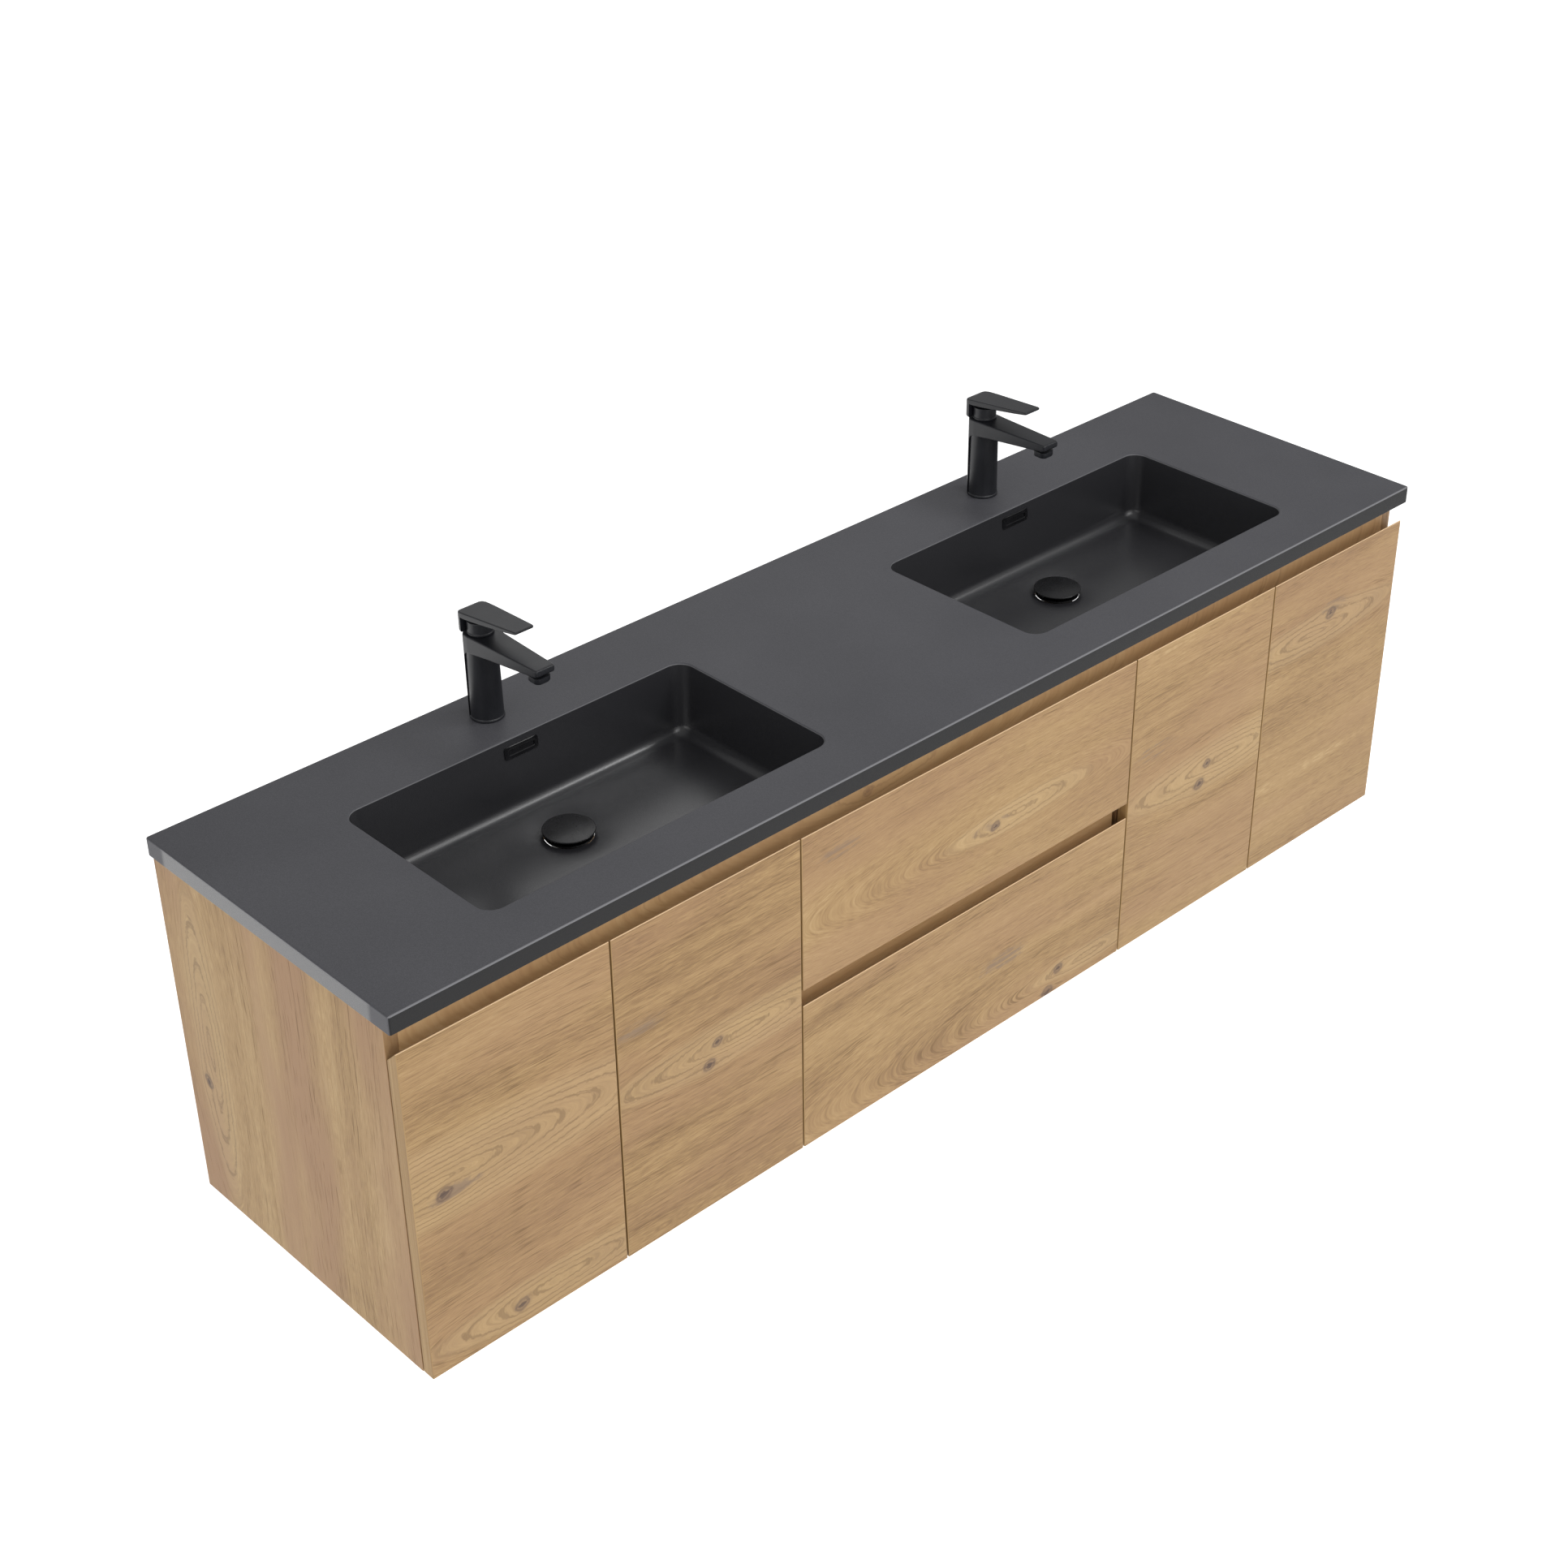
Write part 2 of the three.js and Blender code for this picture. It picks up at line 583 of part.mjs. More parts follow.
for (const [level, { boxTop, boxBottom }] of Object.entries(DRAWERS)) {
  const base = level === "upper" ? FRONT_TOP - DRAWER_FRONT : FRONT_BASE;
  const half = CENTRE_WIDTH / 2;
  place(`${level}_drawer_front`, OAK, prism(frontSection(base, DRAWER_FRONT), -half, half));

  const z0 = TOP_Z + boxBottom;
  const z1 = TOP_Z + boxTop;
  const y0 = FRONT_BACK;
  const y1 = FRONT_BACK + DRAWER_LENGTH;
  const outer = PARTITION_X - RUNNER.width - 0.5;
  const inner = outer - DRAWER_SIDE;
  const ribZ = z0 + 10 + RUNNER.height / 2;
  for (const [side, sign] of SIDES) {
    const xs = [sign * inner, sign * outer].sort((a, b) => a - b);
    const ribs = [sign * (outer - 1), sign * (outer + RUNNER.width - RUNNER.wall - 1)];
    ribs.sort((a, b) => a - b);
    const wall = join(
      block([xs[0], y0, z0], [xs[1], y1, z1]),
      block([ribs[0], CARCASS_Y + 4, ribZ - RUNNER.rib / 2], [ribs[1], y1 - 4, ribZ + RUNNER.rib / 2]),
    );
    place(`${level}_drawer_side_${side}`, GREY_METAL, wall);

    // The cabinet member is a channel that opens towards the drawer.
    const { width, height, wall: sheet } = RUNNER;
    const web = [sign * (PARTITION_X - sheet), sign * PARTITION_X].sort((a, b) => a - b);
    const lips = [sign * (PARTITION_X - width), sign * PARTITION_X].sort((a, b) => a - b);
    const yStart = CARCASS_Y + 2;
    const yEnd = CARCASS_Y + DRAWER_LENGTH;
    const channel = join(
      block([web[0], yStart, ribZ - height / 2], [web[1], yEnd, ribZ + height / 2]),
      block([lips[0], yStart, ribZ - height / 2], [lips[1], yEnd, ribZ - height / 2 + sheet]),
      block([lips[0], yStart, ribZ + height / 2 - sheet], [lips[1], yEnd, ribZ + height / 2]),
    );
    place(`runner_${level}_${side}`, STEEL, channel);
  }
  place(`${level}_drawer_bottom`, WHITE_BOARD, block([-inner, y0, z0], [inner, y1, z0 + DRAWER_BOTTOM]));
  place(
    `${level}_drawer_back`,
    WHITE_BOARD,
    block([-inner, y1 - DRAWER_BOTTOM, z0 + DRAWER_BOTTOM], [inner, y1, z1]),
  );
}

export default vanity;
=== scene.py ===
# %% [markdown]
# # A wall-hung double vanity, finished in Blender
#
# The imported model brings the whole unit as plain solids: where every board, hinge, runner and tap sits
# and how it moves. This notebook gives each visible piece its finished surface and its material. The
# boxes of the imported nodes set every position, so nothing is placed by eye.

import math

import bmesh
import bpy
import numpy as np
from mathutils import Matrix, Vector


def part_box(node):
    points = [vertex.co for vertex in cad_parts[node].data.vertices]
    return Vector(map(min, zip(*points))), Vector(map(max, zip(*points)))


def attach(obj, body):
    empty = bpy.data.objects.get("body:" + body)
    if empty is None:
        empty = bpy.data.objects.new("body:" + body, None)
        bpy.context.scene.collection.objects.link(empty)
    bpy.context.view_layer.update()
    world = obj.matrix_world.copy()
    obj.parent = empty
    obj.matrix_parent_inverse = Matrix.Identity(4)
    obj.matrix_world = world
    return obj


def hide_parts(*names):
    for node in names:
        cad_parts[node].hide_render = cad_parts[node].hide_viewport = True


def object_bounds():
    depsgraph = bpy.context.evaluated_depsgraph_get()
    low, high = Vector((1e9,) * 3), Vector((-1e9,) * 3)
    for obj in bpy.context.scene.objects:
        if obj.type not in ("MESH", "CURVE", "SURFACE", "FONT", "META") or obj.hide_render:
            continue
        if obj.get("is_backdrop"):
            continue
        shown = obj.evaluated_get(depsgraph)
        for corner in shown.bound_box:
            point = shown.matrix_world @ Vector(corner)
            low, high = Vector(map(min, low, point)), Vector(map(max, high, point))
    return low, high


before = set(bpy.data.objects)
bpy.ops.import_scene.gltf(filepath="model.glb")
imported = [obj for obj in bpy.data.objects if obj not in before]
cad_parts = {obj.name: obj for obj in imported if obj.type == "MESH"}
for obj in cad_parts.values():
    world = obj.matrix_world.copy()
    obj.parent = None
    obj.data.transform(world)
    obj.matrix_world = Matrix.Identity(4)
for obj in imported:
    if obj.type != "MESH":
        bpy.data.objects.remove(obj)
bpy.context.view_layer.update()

# %% [markdown]
# ## Positions read from the frame
#
# The countertop's upper face, the underside that the carcass meets and the lines of the fronts come
# from the nodes' boxes. Sizes that no box holds, such as the basins' corner radius, are named where
# their piece is made.

# %% main planes
mm = 0.001
top_low, top_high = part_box("vanity_top_left")[0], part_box("vanity_top_right")[1]
HALF_WIDTH = top_high.x
FRONT_Y, WALL_Y = top_low.y, top_high.y
TOP_Z = top_high.z
UNDER_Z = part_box("side_panel_left")[1].z
print("countertop: %.3f wide, %.3f deep, %.3f thick" % (2 * HALF_WIDTH, WALL_Y - FRONT_Y, TOP_Z - UNDER_Z))


def middle(node):
    """The centre of a node's box."""
    low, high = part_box(node)
    return (low + high) / 2


# %% [markdown]
# ## Camera
#
# The unit is seen from its left front corner, from a little above head height. A lens of about 59 mm
# keeps the long countertop's lines from spreading too fast. The camera's axes are built from the
# heading, the tilt and a small roll, which is exact and needs no target object.

# %% camera
HEADING, TILT, ROLL = math.radians(42.781), math.radians(32.288), math.radians(0.8135)
EYE = Vector((-2.0339, -2.3108, 1.7031))
LENS, SENSOR = 58.746, 36  # millimetres


def camera_axes(heading, tilt, roll):
    """Right, up and back vectors of a camera that looks along a heading from +Y towards +X.

    forward = (sin h cos t, cos h cos t, -sin t); right is level; both other axes are turned by the roll.
    """
    ahead = Vector((math.sin(heading) * math.cos(tilt), math.cos(heading) * math.cos(tilt), -math.sin(tilt)))
    level = Vector((math.cos(heading), -math.sin(heading), 0))
    down = ahead.cross(level)
    right = math.cos(roll) * level + math.sin(roll) * down
    up = math.sin(roll) * level - math.cos(roll) * down
    return right, up, -ahead


def make_camera():
    data = bpy.data.cameras.new("camera")
    data.lens, data.sensor_width = LENS, SENSOR
    data.clip_start, data.clip_end = 0.05, 60
    camera = bpy.data.objects.new("camera", data)
    bpy.context.collection.objects.link(camera)
    axes = Matrix(camera_axes(HEADING, TILT, ROLL)).transposed()
    camera.matrix_world = Matrix.Translation(EYE) @ axes.to_4x4()
    bpy.context.scene.camera = camera


make_camera()
print("camera at", tuple(round(v, 2) for v in EYE))

# %% [markdown]
# ## Studio
#
# The setting is a white sweep with broad, even light: a pale floor well below the unit, since the unit
# hangs on a wall. Two wide lamps stand in front, one on the left, and two small ones light the basins:
# the key from the front right, and a weak one behind. The floor glows a little of its own, as an
# over-lit backdrop does, so it stays white under the unit.

# %% studio
FLOOR_Z = TOP_Z - 0.87  # a countertop hangs about this high


def make_floor():
    size = 30
    corners = [(-size, -size, FLOOR_Z), (size, -size, FLOOR_Z), (size, size, FLOOR_Z), (-size, size, FLOOR_Z)]
    data = bpy.data.meshes.new("floor")
    data.from_pydata(corners, [], [(0, 1, 2, 3)])
    floor = bpy.data.objects.new("floor", data)
    bpy.context.collection.objects.link(floor)
    look = bpy.data.materials.new("white_sweep")
    look.use_nodes = True
    shader = look.node_tree.nodes["Principled BSDF"]
    shader.inputs["Base Color"].default_value = (0.8, 0.8, 0.8, 1)
    shader.inputs["Roughness"].default_value = 0.9
    shader.inputs["Emission Color"].default_value = (1, 1, 1, 1)
    shader.inputs["Emission Strength"].default_value = 0.80
    data.materials.append(look)
    floor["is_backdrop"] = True


def make_lamp(name, place, target, size, power):
    data = bpy.data.lights.new(name, "AREA")
    data.shape, data.size, data.size_y = "RECTANGLE", size[0], size[1]
    data.energy = power
    lamp = bpy.data.objects.new(name, data)
    bpy.context.collection.objects.link(lamp)
    lamp.location = place
    lamp.rotation_mode = "QUATERNION"
    lamp.rotation_quaternion = (Vector(target) - Vector(place)).to_track_quat("-Z", "Y")


def light_studio():
    world = bpy.data.worlds.new("studio")
    bpy.context.scene.world = world
    world.use_nodes = True
    background = world.node_tree.nodes["Background"]
    background.inputs["Color"].default_value = (1, 1, 1, 1)
    background.inputs["Strength"].default_value = 0.42
    make_lamp("key", (1.7, -1.5, 2.5), (-0.3, -0.2, 0), (1.0, 0.8), 24)
    make_lamp("behind", (0.9, 1.35, 1.45), (-0.45, -0.25, 0), (1.0, 0.9), 3)
    make_lamp("front_high", (0.2, -3.0, 2.9), (0, -0.2, -0.05), (3.2, 1.4), 44)
    make_lamp("front_low", (-0.4, -3.8, 0.8), (0, 0, -0.15), (3.4, 1.5), 26)
    make_lamp("left_fill", (-3.5, -0.7, 0.6), (-0.8, -0.2, -0.2), (2.0, 1.6), 18)
    bpy.context.scene.view_settings.view_transform = "Standard"


make_floor()
light_studio()
print("lamps:", len(bpy.data.lights))

# %% [markdown]
# ## Shader maths in Python
#
# A procedural finish is arithmetic on positions. `Value` wraps one socket of a material, so `a * 2 + b`
# adds the Math nodes; `Look` owns a material and adds every other node through one method.


# %% values and looks
class Value:
    """One output socket of a material. Arithmetic on it adds Math nodes."""

    def __init__(self, look, socket):
        self.look, self.socket = look, socket

    def math(self, operation, *others):
        inputs = dict(enumerate((self, *others)))
        return self.look.node("ShaderNodeMath", {"operation": operation}, inputs)

    def __add__(self, other):
        return self.math("ADD", other)

    def __sub__(self, other):
        return self.math("SUBTRACT", other)

    def __mul__(self, other):
        return self.math("MULTIPLY", other)

    def __rsub__(self, other):
        return self.look.node("ShaderNodeMath", {"operation": "SUBTRACT"}, {0: other, 1: self})

    __radd__, __rmul__ = __add__, __mul__

    def step(self, low, high):
        """0 below low, 1 above high and smooth between; swap the two for the reverse."""
        settings = {"interpolation_type": "SMOOTHSTEP"}
        if low < high:
            inputs = {"Value": self, "From Min": low, "From Max": high}
        else:
            inputs = {"Value": self, "From Min": high, "From Max": low, "To Min": 1, "To Max": 0}
        return self.look.node("ShaderNodeMapRange", settings, inputs)


class Look:
    """A material with one Principled BSDF."""

    def __init__(self, name, **constants):
        self.material = bpy.data.materials.new(name)
        self.material.use_nodes = True
        self.tree = self.material.node_tree
        self.shader = self.tree.nodes["Principled BSDF"]
        for socket, value in constants.items():
            self.shader.inputs[socket.replace("_", " ")].default_value = value

    def node(self, kind, settings=None, inputs=None, out=0):
        """Adds a node: its settings first, then its inputs, each a number, a tuple or a Value."""
        made = self.tree.nodes.new(kind)
        for key, value in (settings or {}).items():
            if key == "stops":
                fill_ramp(made.color_ramp, value)
            else:
                setattr(made, key, value)
        for key, value in (inputs or {}).items():
            if isinstance(value, Value):
                self.tree.links.new(value.socket, made.inputs[key])
            else:
                made.inputs[key].default_value = value
        return Value(self, made.outputs[out])

    def place(self):
        """The surface point in the frame's metres, as three values."""
        point = self.node("ShaderNodeTexCoord", out="Object")
        split = self.node("ShaderNodeSeparateXYZ", inputs={0: point})
        sockets = split.socket.node.outputs
        return [Value(self, sockets[axis]) for axis in "XYZ"]

    def point(self, x, y, z):
        return self.node("ShaderNodeCombineXYZ", inputs={0: x, 1: y, 2: z})

    def noise(self, point, scale=1.0, detail=2.0, roughness=0.5):
        inputs = {"Vector": point, "Scale": scale, "Detail": detail, "Roughness": roughness}
        return self.node("ShaderNodeTexNoise", inputs=inputs, out="Fac")

    def blend(self, amount, first, second):
        """A colour mix; first and second are colours or Values."""
        settings = {"data_type": "RGBA", "clamp_factor": True}
        return self.node("ShaderNodeMix", settings, {0: amount, 6: first, 7: second}, out=2)

    def ramp(self, value, stops):
        return self.node("ShaderNodeValToRGB", {"stops": stops}, {0: value})

    def bump(self, height, distance):
        """Relief from a height, with distance the depth in metres that a height of 1 stands for."""
        inputs = {"Height": height, "Distance": distance, "Strength": 1.0}
        self.feed("Normal", self.node("ShaderNodeBump", inputs=inputs))

    def feed(self, socket, value):
        """Links a value to one of the shader's own sockets."""
        self.tree.links.new(value.socket, self.shader.inputs[socket])


def fill_ramp(ramp, stops):
    """Sets a colour ramp's stops, given as (position, colour)."""
    while len(ramp.elements) > 1:
        ramp.elements.remove(ramp.elements[-1])
    ramp.elements[0].position, ramp.elements[0].color = stops[0]
    for position, color in stops[1:]:
        ramp.elements.new(position).color = color


def tint(red, green, blue):
    """A display colour, 0 to 255 a channel, as the linear colour that shaders use."""
    channels = np.array([red, green, blue]) / 255
    linear = np.where(channels <= 0.04045, channels / 12.92, ((channels + 0.055) / 1.055) ** 2.4)
    return (*linear.tolist(), 1.0)


# %% [markdown]
# ## Oak
#
# The boards carry a printed knotty oak. Real figure comes from growth rings: a sawn face cuts nested
# tubes round the tree's heart, so the rings show as long ellipses near the heart and as straight lines
# away from it. The same sum draws it here. For a heart at (s0, t0), with s along the grain and t across
# it, a face point belongs to the ring r = sqrt((t - t0)^2 + (slope (s - s0))^2 + depth^2). Every streak,
# fibre and pore is then noise in (s, r), so it follows the figure. Grain parts round each knot because t
# is squeezed towards the knot near it.

# %% oak
OAK_TONES = [
    (0.00, tint(104, 76, 46)),
    (0.28, tint(136, 106, 68)),
    (0.45, tint(154, 124, 82)),
    (0.58, tint(163, 133, 90)),
    (0.75, tint(175, 147, 104)),
    (1.00, tint(188, 163, 124)),
]
OAK_ROSE, OAK_PORE, OAK_PALE = tint(152, 118, 86), tint(96, 70, 43), tint(182, 155, 112)
KNOT_DARK, KNOT_RIM, OAK_SMUDGE = tint(76, 58, 50), tint(116, 92, 72), tint(122, 101, 82)
# Painted light: a highlight colour for the fronts' upper arris, and a paler colour laid over the gap rails.
OAK_ARRIS_HIGHLIGHT, OAK_PAINTED_LIGHT = tint(222, 190, 150), tint(232, 186, 136)
HEART_SLOPE, HEART_DEPTH = 0.15, 0.002
RINGS_PER_METRE = 135
END_BAND = 0.9 * mm


def squared(value):
    return value * value


def oak(
    name, along, across, hearts, knots=(), smudges=(), seed=0.0,
    tone=0.0, rose=0.4, painted_light_share=0.0, ends=(), arris=None,
):
    """Oak with its grain along one axis.

    Hearts are (along, across, reach) with reach the ring up to which single growth lines show; knots and
    smudges are (along, across, size). Rose is the share of pinker wood in the blushes, and wash that of a
    paler colour painted over everything as painted light. Ends are the two places along the grain where an
    edge band turns the grain upright, and arris is the height of an upper edge along which a painted
    highlight runs. All in metres.
    """
    look = Look(name, Specular_IOR_Level=0.3)
    axes = dict(zip("xyz", look.place()))
    s, t = axes[along], axes[across]
    depth = axes[({"x", "y", "z"} - {along, across}).pop()]

    sway = look.noise(look.point(s * 1.6, t * 5, depth * 5 + seed), detail=1) - 0.5
    ripple = look.noise(look.point(s * 12, t * 40, seed + 5), detail=2) - 0.5
    bent = t + sway * 0.024 + ripple * 0.0040
    for s0, t0, size in knots:
        near = squared((s - s0) * (1 / (5.0 * size))) + squared((t - t0) * (1 / (2.0 * size)))
        pull = (near * -1).math("EXPONENT")
        bent = bent - (bent - t0) * pull * 0.8

    ring, figured = None, 0.0
    for s0, t0, reach in hearts:
        lean = squared((s - s0) * HEART_SLOPE) + HEART_DEPTH**2
        found = (squared(bent - t0) + lean).math("SQRT")
        figured = found.step(reach, 0.7 * reach) + figured
        ring = found if ring is None else ring.math("SMOOTH_MIN", found, 0.02)
    figured = figured.math("MINIMUM", 1.0)

    band = look.noise(look.point(s * 0.8, ring * 16, depth * 9 + seed), detail=2)
    streak = look.noise(look.point(s * 2.2, ring * 64, depth * 40 + seed + 3), detail=3, roughness=0.6)
    strand = look.noise(look.point(s * 9, ring * 240, depth * 90 + seed + 13), detail=2)
    fibre = look.noise(look.point(s * 55, ring * 860, depth * 300 + seed + 7), detail=3, roughness=0.6)
    dash = look.noise(look.point(s * 18, ring * 560, depth * 200 + seed + 11), detail=2, roughness=0.6)
    cloud = look.noise(look.point(s * 4, t * 9, seed + 17), detail=2)
    blush = look.noise(look.point(s * 2.2, t * 10, seed + 29), detail=2)

    level = 0.5 + (band - 0.5) * 0.50 + (streak - 0.5) * 0.42 + (strand - 0.5) * 0.30
    level = level + (fibre - 0.5) * 0.95 + (cloud - 0.5) * 0.40 + tone
    color = look.ramp(level, OAK_TONES)
    color = look.blend(blush.step(0.38, 0.66) * rose, color, OAK_ROSE)
    color = look.blend(figured * 0.34, color, OAK_PALE)

    teeth = look.noise(look.point(s * 150, t * 70, seed + 31), detail=2) - 0.5
    turn = (ring * RINGS_PER_METRE + teeth * 0.55 + cloud * 1.6).math("FRACT")
    line = (turn - 0.5).math("ABSOLUTE").step(0.20, 0.05) * figured * fibre.step(0.34, 0.52)
    color = look.blend(line * 0.46, color, OAK_PORE)
    pores = dash.step(0.55, 0.66) * band.step(0.66, 0.40) * (1 - figured * 0.7)
    color = look.blend(pores * 0.5, color, OAK_PORE)

    crumble = look.noise(look.point(s * 90, t * 160, seed + 23), detail=2) - 0.5
    for s0, t0, size in smudges:
        reach = squared((s - s0) * (1 / (2.0 * size))) + squared((t - t0) * (1 / (0.6 * size)))
        soft = (reach + crumble * 2.4).step(1.4, 0.1) * strand.step(0.38, 0.58)
        color = look.blend(soft * 0.75, color, OAK_SMUDGE)
    for s0, t0, size in knots:
        slant = t - t0 - (s - s0) * 0.12
        far = squared((s - s0) * (1 / size)) + squared(slant * (1 / (0.8 * size)))
        rough = far + crumble * 2.2
        split = slant + crumble * 0.006
        crack = squared((s - s0) * (1 / (1.5 * size))) + squared(split * (1 / (0.16 * size)))
        color = look.blend(rough.step(4.2, 0.8) * 0.5, color, KNOT_RIM)
        color = look.blend((1 - (rough - 1.4).math("ABSOLUTE")).step(0.1, 0.8) * 0.4, color, KNOT_DARK)
        color = look.blend(rough.step(0.7, 0.1) * 0.75, color, KNOT_DARK)
        color = look.blend(crack.step(1.2, 0.3) * 0.6, color, KNOT_DARK)

    if ends:
        upright = look.noise(look.point(t * 3, depth * 260, seed + 37), detail=3, roughness=0.65)
        banded = look.ramp(upright, OAK_TONES)
        start, end = ends
        edge = s.step(start + END_BAND, start + 0.7 * END_BAND) + s.step(end - END_BAND, end - 0.7 * END_BAND)
        color = look.blend(edge, color, banded)
    # A thin lighter line just under the upper arris: a painted highlight where the edge catches light.
    if arris:
        arris_highlight = t.step(arris - 2.4 * mm, arris - 1.6 * mm)
        color = look.blend(arris_highlight * 0.9, color, OAK_ARRIS_HIGHLIGHT)
    # A paler colour over the whole board, as painted light: used for the rails in the finger gaps.
    if painted_light_share:
        color = look.blend(painted_light_share, color, OAK_PAINTED_LIGHT)

    look.feed("Base Color", color)
    look.feed("Roughness", 0.52 + (fibre - 0.5) * 0.18 + pores * 0.1)
    look.bump(fibre * 0.5 + strand * 0.3 - pores * 0.5 - line * 0.4, 0.00012)
    return look.material


# %% [markdown]
# ## The other finishes
#
# The countertop is a matt charcoal composite with a fine grain that is coarser inside the basins; their
# insides are painted darker as painted shade, and their lip and the slab's upper arris carry painted
# highlights. Taps are coated matt black, wastes and overflow frames are a glossier black, fittings are
# nickel-plated steel, and the drawers' metal sides are powder-coated grey.

# %% composite, coatings and metals
# Painted colours: the second is a painted highlight for the basins' lip and the slab's upper arris, the third
# painted shade inside the basins.
EDGE_DARK, EDGE_HIGHLIGHT, BASIN_PAINTED_SHADE = tint(9, 9, 11), tint(122, 122, 125), tint(38, 38, 41)


def composite():
    look = Look("charcoal_composite", Specular_IOR_Level=0.24, Coat_Roughness=0.27)
    x, y, z = look.place()
    point = look.point(x, y, z)
    grain = look.noise(point, scale=900, detail=2, roughness=0.6)
    speck = look.noise(point, scale=2600, detail=1)
    cloud = look.noise(point, scale=5, detail=2)
    color = look.ramp(
        grain * 0.6 + cloud * 0.25 + speck * 0.15,
        [(0.30, tint(69, 69, 73)), (0.5, tint(80, 80, 84)), (0.70, tint(92, 92, 96))],
    )
    # Masks: the basins' insides, painted darker as painted shade; their rolled lip and the slab's upper
    # arris, each given a painted highlight; and the slab's front face, painted darker.
    under, behind = TOP_Z - z, y - FRONT_Y
    clear_of_edges = behind.step(30 * mm, 40 * mm) * (WALL_Y - y).step(30 * mm, 40 * mm)
    inside = under.step(0.8 * mm, 3.0 * mm) * clear_of_edges
    lip = under.step(0.3 * mm, 0.7 * mm) * under.step(2.4 * mm, 1.7 * mm) * inside.step(0.0, 0.1)
    front = behind.step(1.4 * mm, 0.6 * mm) * under.step(1.2 * mm, 2.2 * mm)
    arris = behind.step(2.0 * mm, 1.4 * mm) * under.step(2.0 * mm, 1.3 * mm)
    # Painted shade: the basins' insides are made darker.
    color = look.blend(inside * 0.94, color, BASIN_PAINTED_SHADE)
    # Painted highlight along the basins' rolled lip.
    color = look.blend(lip * 0.8, color, EDGE_HIGHLIGHT)
    color = look.blend(front * 0.95, color, EDGE_DARK)
    # Painted highlight along the slab's upper arris.
    color = look.blend(arris * 0.9, color, EDGE_HIGHLIGHT)
    look.feed("Base Color", color)
    look.feed("Roughness", 0.5 + (grain - 0.5) * 0.2 - inside * 0.1)
    look.feed("Coat Weight", inside)
    look.bump(grain * (0.35 + inside * 0.65) + speck * 0.2, 0.00035)
    return look.material


def matt_black():
    look = Look("matt_black_coating", Specular_IOR_Level=0.5)
    x, y, z = look.place()
    point = look.point(x, y, z)
    grain = look.noise(point, scale=1500, detail=2)
    smear = look.noise(point, scale=30, detail=2)
    mottle = grain * 0.5 + smear * 0.5
    look.feed("Base Color", look.ramp(mottle, [(0.3, tint(22, 23, 27)), (0.7, tint(32, 33, 38))]))
    look.feed("Roughness", 0.40 + (smear - 0.5) * 0.12 + (grain - 0.5) * 0.1)
    look.bump(grain, 0.00005)
    return look.material


def gloss_black():
    look = Look("gloss_black", Specular_IOR_Level=0.5)
    x, y, z = look.place()
    smear = look.noise(look.point(x, y, z), scale=60, detail=3)
    look.feed("Base Color", look.ramp(smear, [(0.3, tint(12, 12, 14)), (0.7, tint(20, 20, 23))]))
    look.feed("Roughness", 0.27 + (smear - 0.5) * 0.12)
    return look.material


def steel():
    look = Look("nickel_steel", Metallic=1.0)
    x, y, z = look.place()
    lines = look.noise(look.point(x * 900, y * 25, z * 900), detail=2)
    patch = look.noise(look.point(x, y, z), scale=40, detail=2)
    look.feed("Base Color", look.ramp(lines, [(0.3, tint(178, 180, 184)), (0.7, tint(206, 207, 210))]))
    look.feed("Roughness", 0.26 + (lines - 0.5) * 0.2 + (patch - 0.5) * 0.1)
    look.bump(lines, 0.00003)
    return look.material


def powder_grey():
    look = Look("grey_powder_coat", Specular_IOR_Level=0.45)
    x, y, z = look.place()
    peel = look.noise(look.point(x, y, z), scale=700, detail=1)
    look.feed("Base Color", look.ramp(peel, [(0.3, tint(104, 107, 111)), (0.7, tint(118, 121, 125))]))
    look.feed("Roughness", 0.48 + (peel - 0.5) * 0.15)
    look.bump(peel, 0.00008)
    return look.material


def drawer_board():
    look = Look("light_drawer_board", Specular_IOR_Level=0.35)
    x, y, z = look.place()
    warp = look.noise(look.point(x * 1400, y * 130, z * 130), detail=1)
    weft = look.noise(look.point(x * 130, y * 1400, z * 1400), detail=1)
    weave = warp * 0.5 + weft * 0.5
    look.feed("Base Color", look.ramp(weave, [(0.35, tint(204, 202, 196)), (0.65, tint(224, 222, 217))]))
    look.feed("Roughness", 0.55 + (weave - 0.5) * 0.2)
    look.bump(weave, 0.00005)
    return look.material


COMPOSITE, BLACK, GLOSS = composite(), matt_black(), gloss_black()
STEEL, POWDER, LIGHT_BOARD = steel(), powder_grey(), drawer_board()
print("finishes:", ", ".join(look.name for look in bpy.data.materials))

# %% [markdown]
# ## Surfaces from arrays
#
# Every new piece is a skin over rows of points. A row is a closed ring, and neighbouring rows are joined
# by quads, so a piece is one array of shape (rows, points, 3). The ends are closed by one face each, or
# the last row is joined to the first.


# %% skins
SAME_POINT = 1e-6
SMOOTH_BELOW = math.radians(35)  # faces that meet at a smaller angle are shaded as one surface


def skin(rows, ends="cap"):
    """A mesh from rows of closed rings, (R, M, 3): quads between rows, then two caps or a loop."""
    rows = np.asarray(rows, float)
    count, size, _ = rows.shape
    index = np.arange(count * size).reshape(count, size)
    if ends == "loop":
        index = np.vstack([index, index[:1]])
    here, there = index[:-1], index[1:]
    quads = np.stack([here, np.roll(here, -1, 1), np.roll(there, -1, 1), there], -1).reshape(-1, 4)
    faces = quads.tolist()
    if ends == "cap":
        faces += [index[0][::-1].tolist(), index[-1].tolist()]
    data = bpy.data.meshes.new("skin")
    data.from_pydata(rows.reshape(-1, 3).tolist(), [], faces)
    merge(data)
    return data


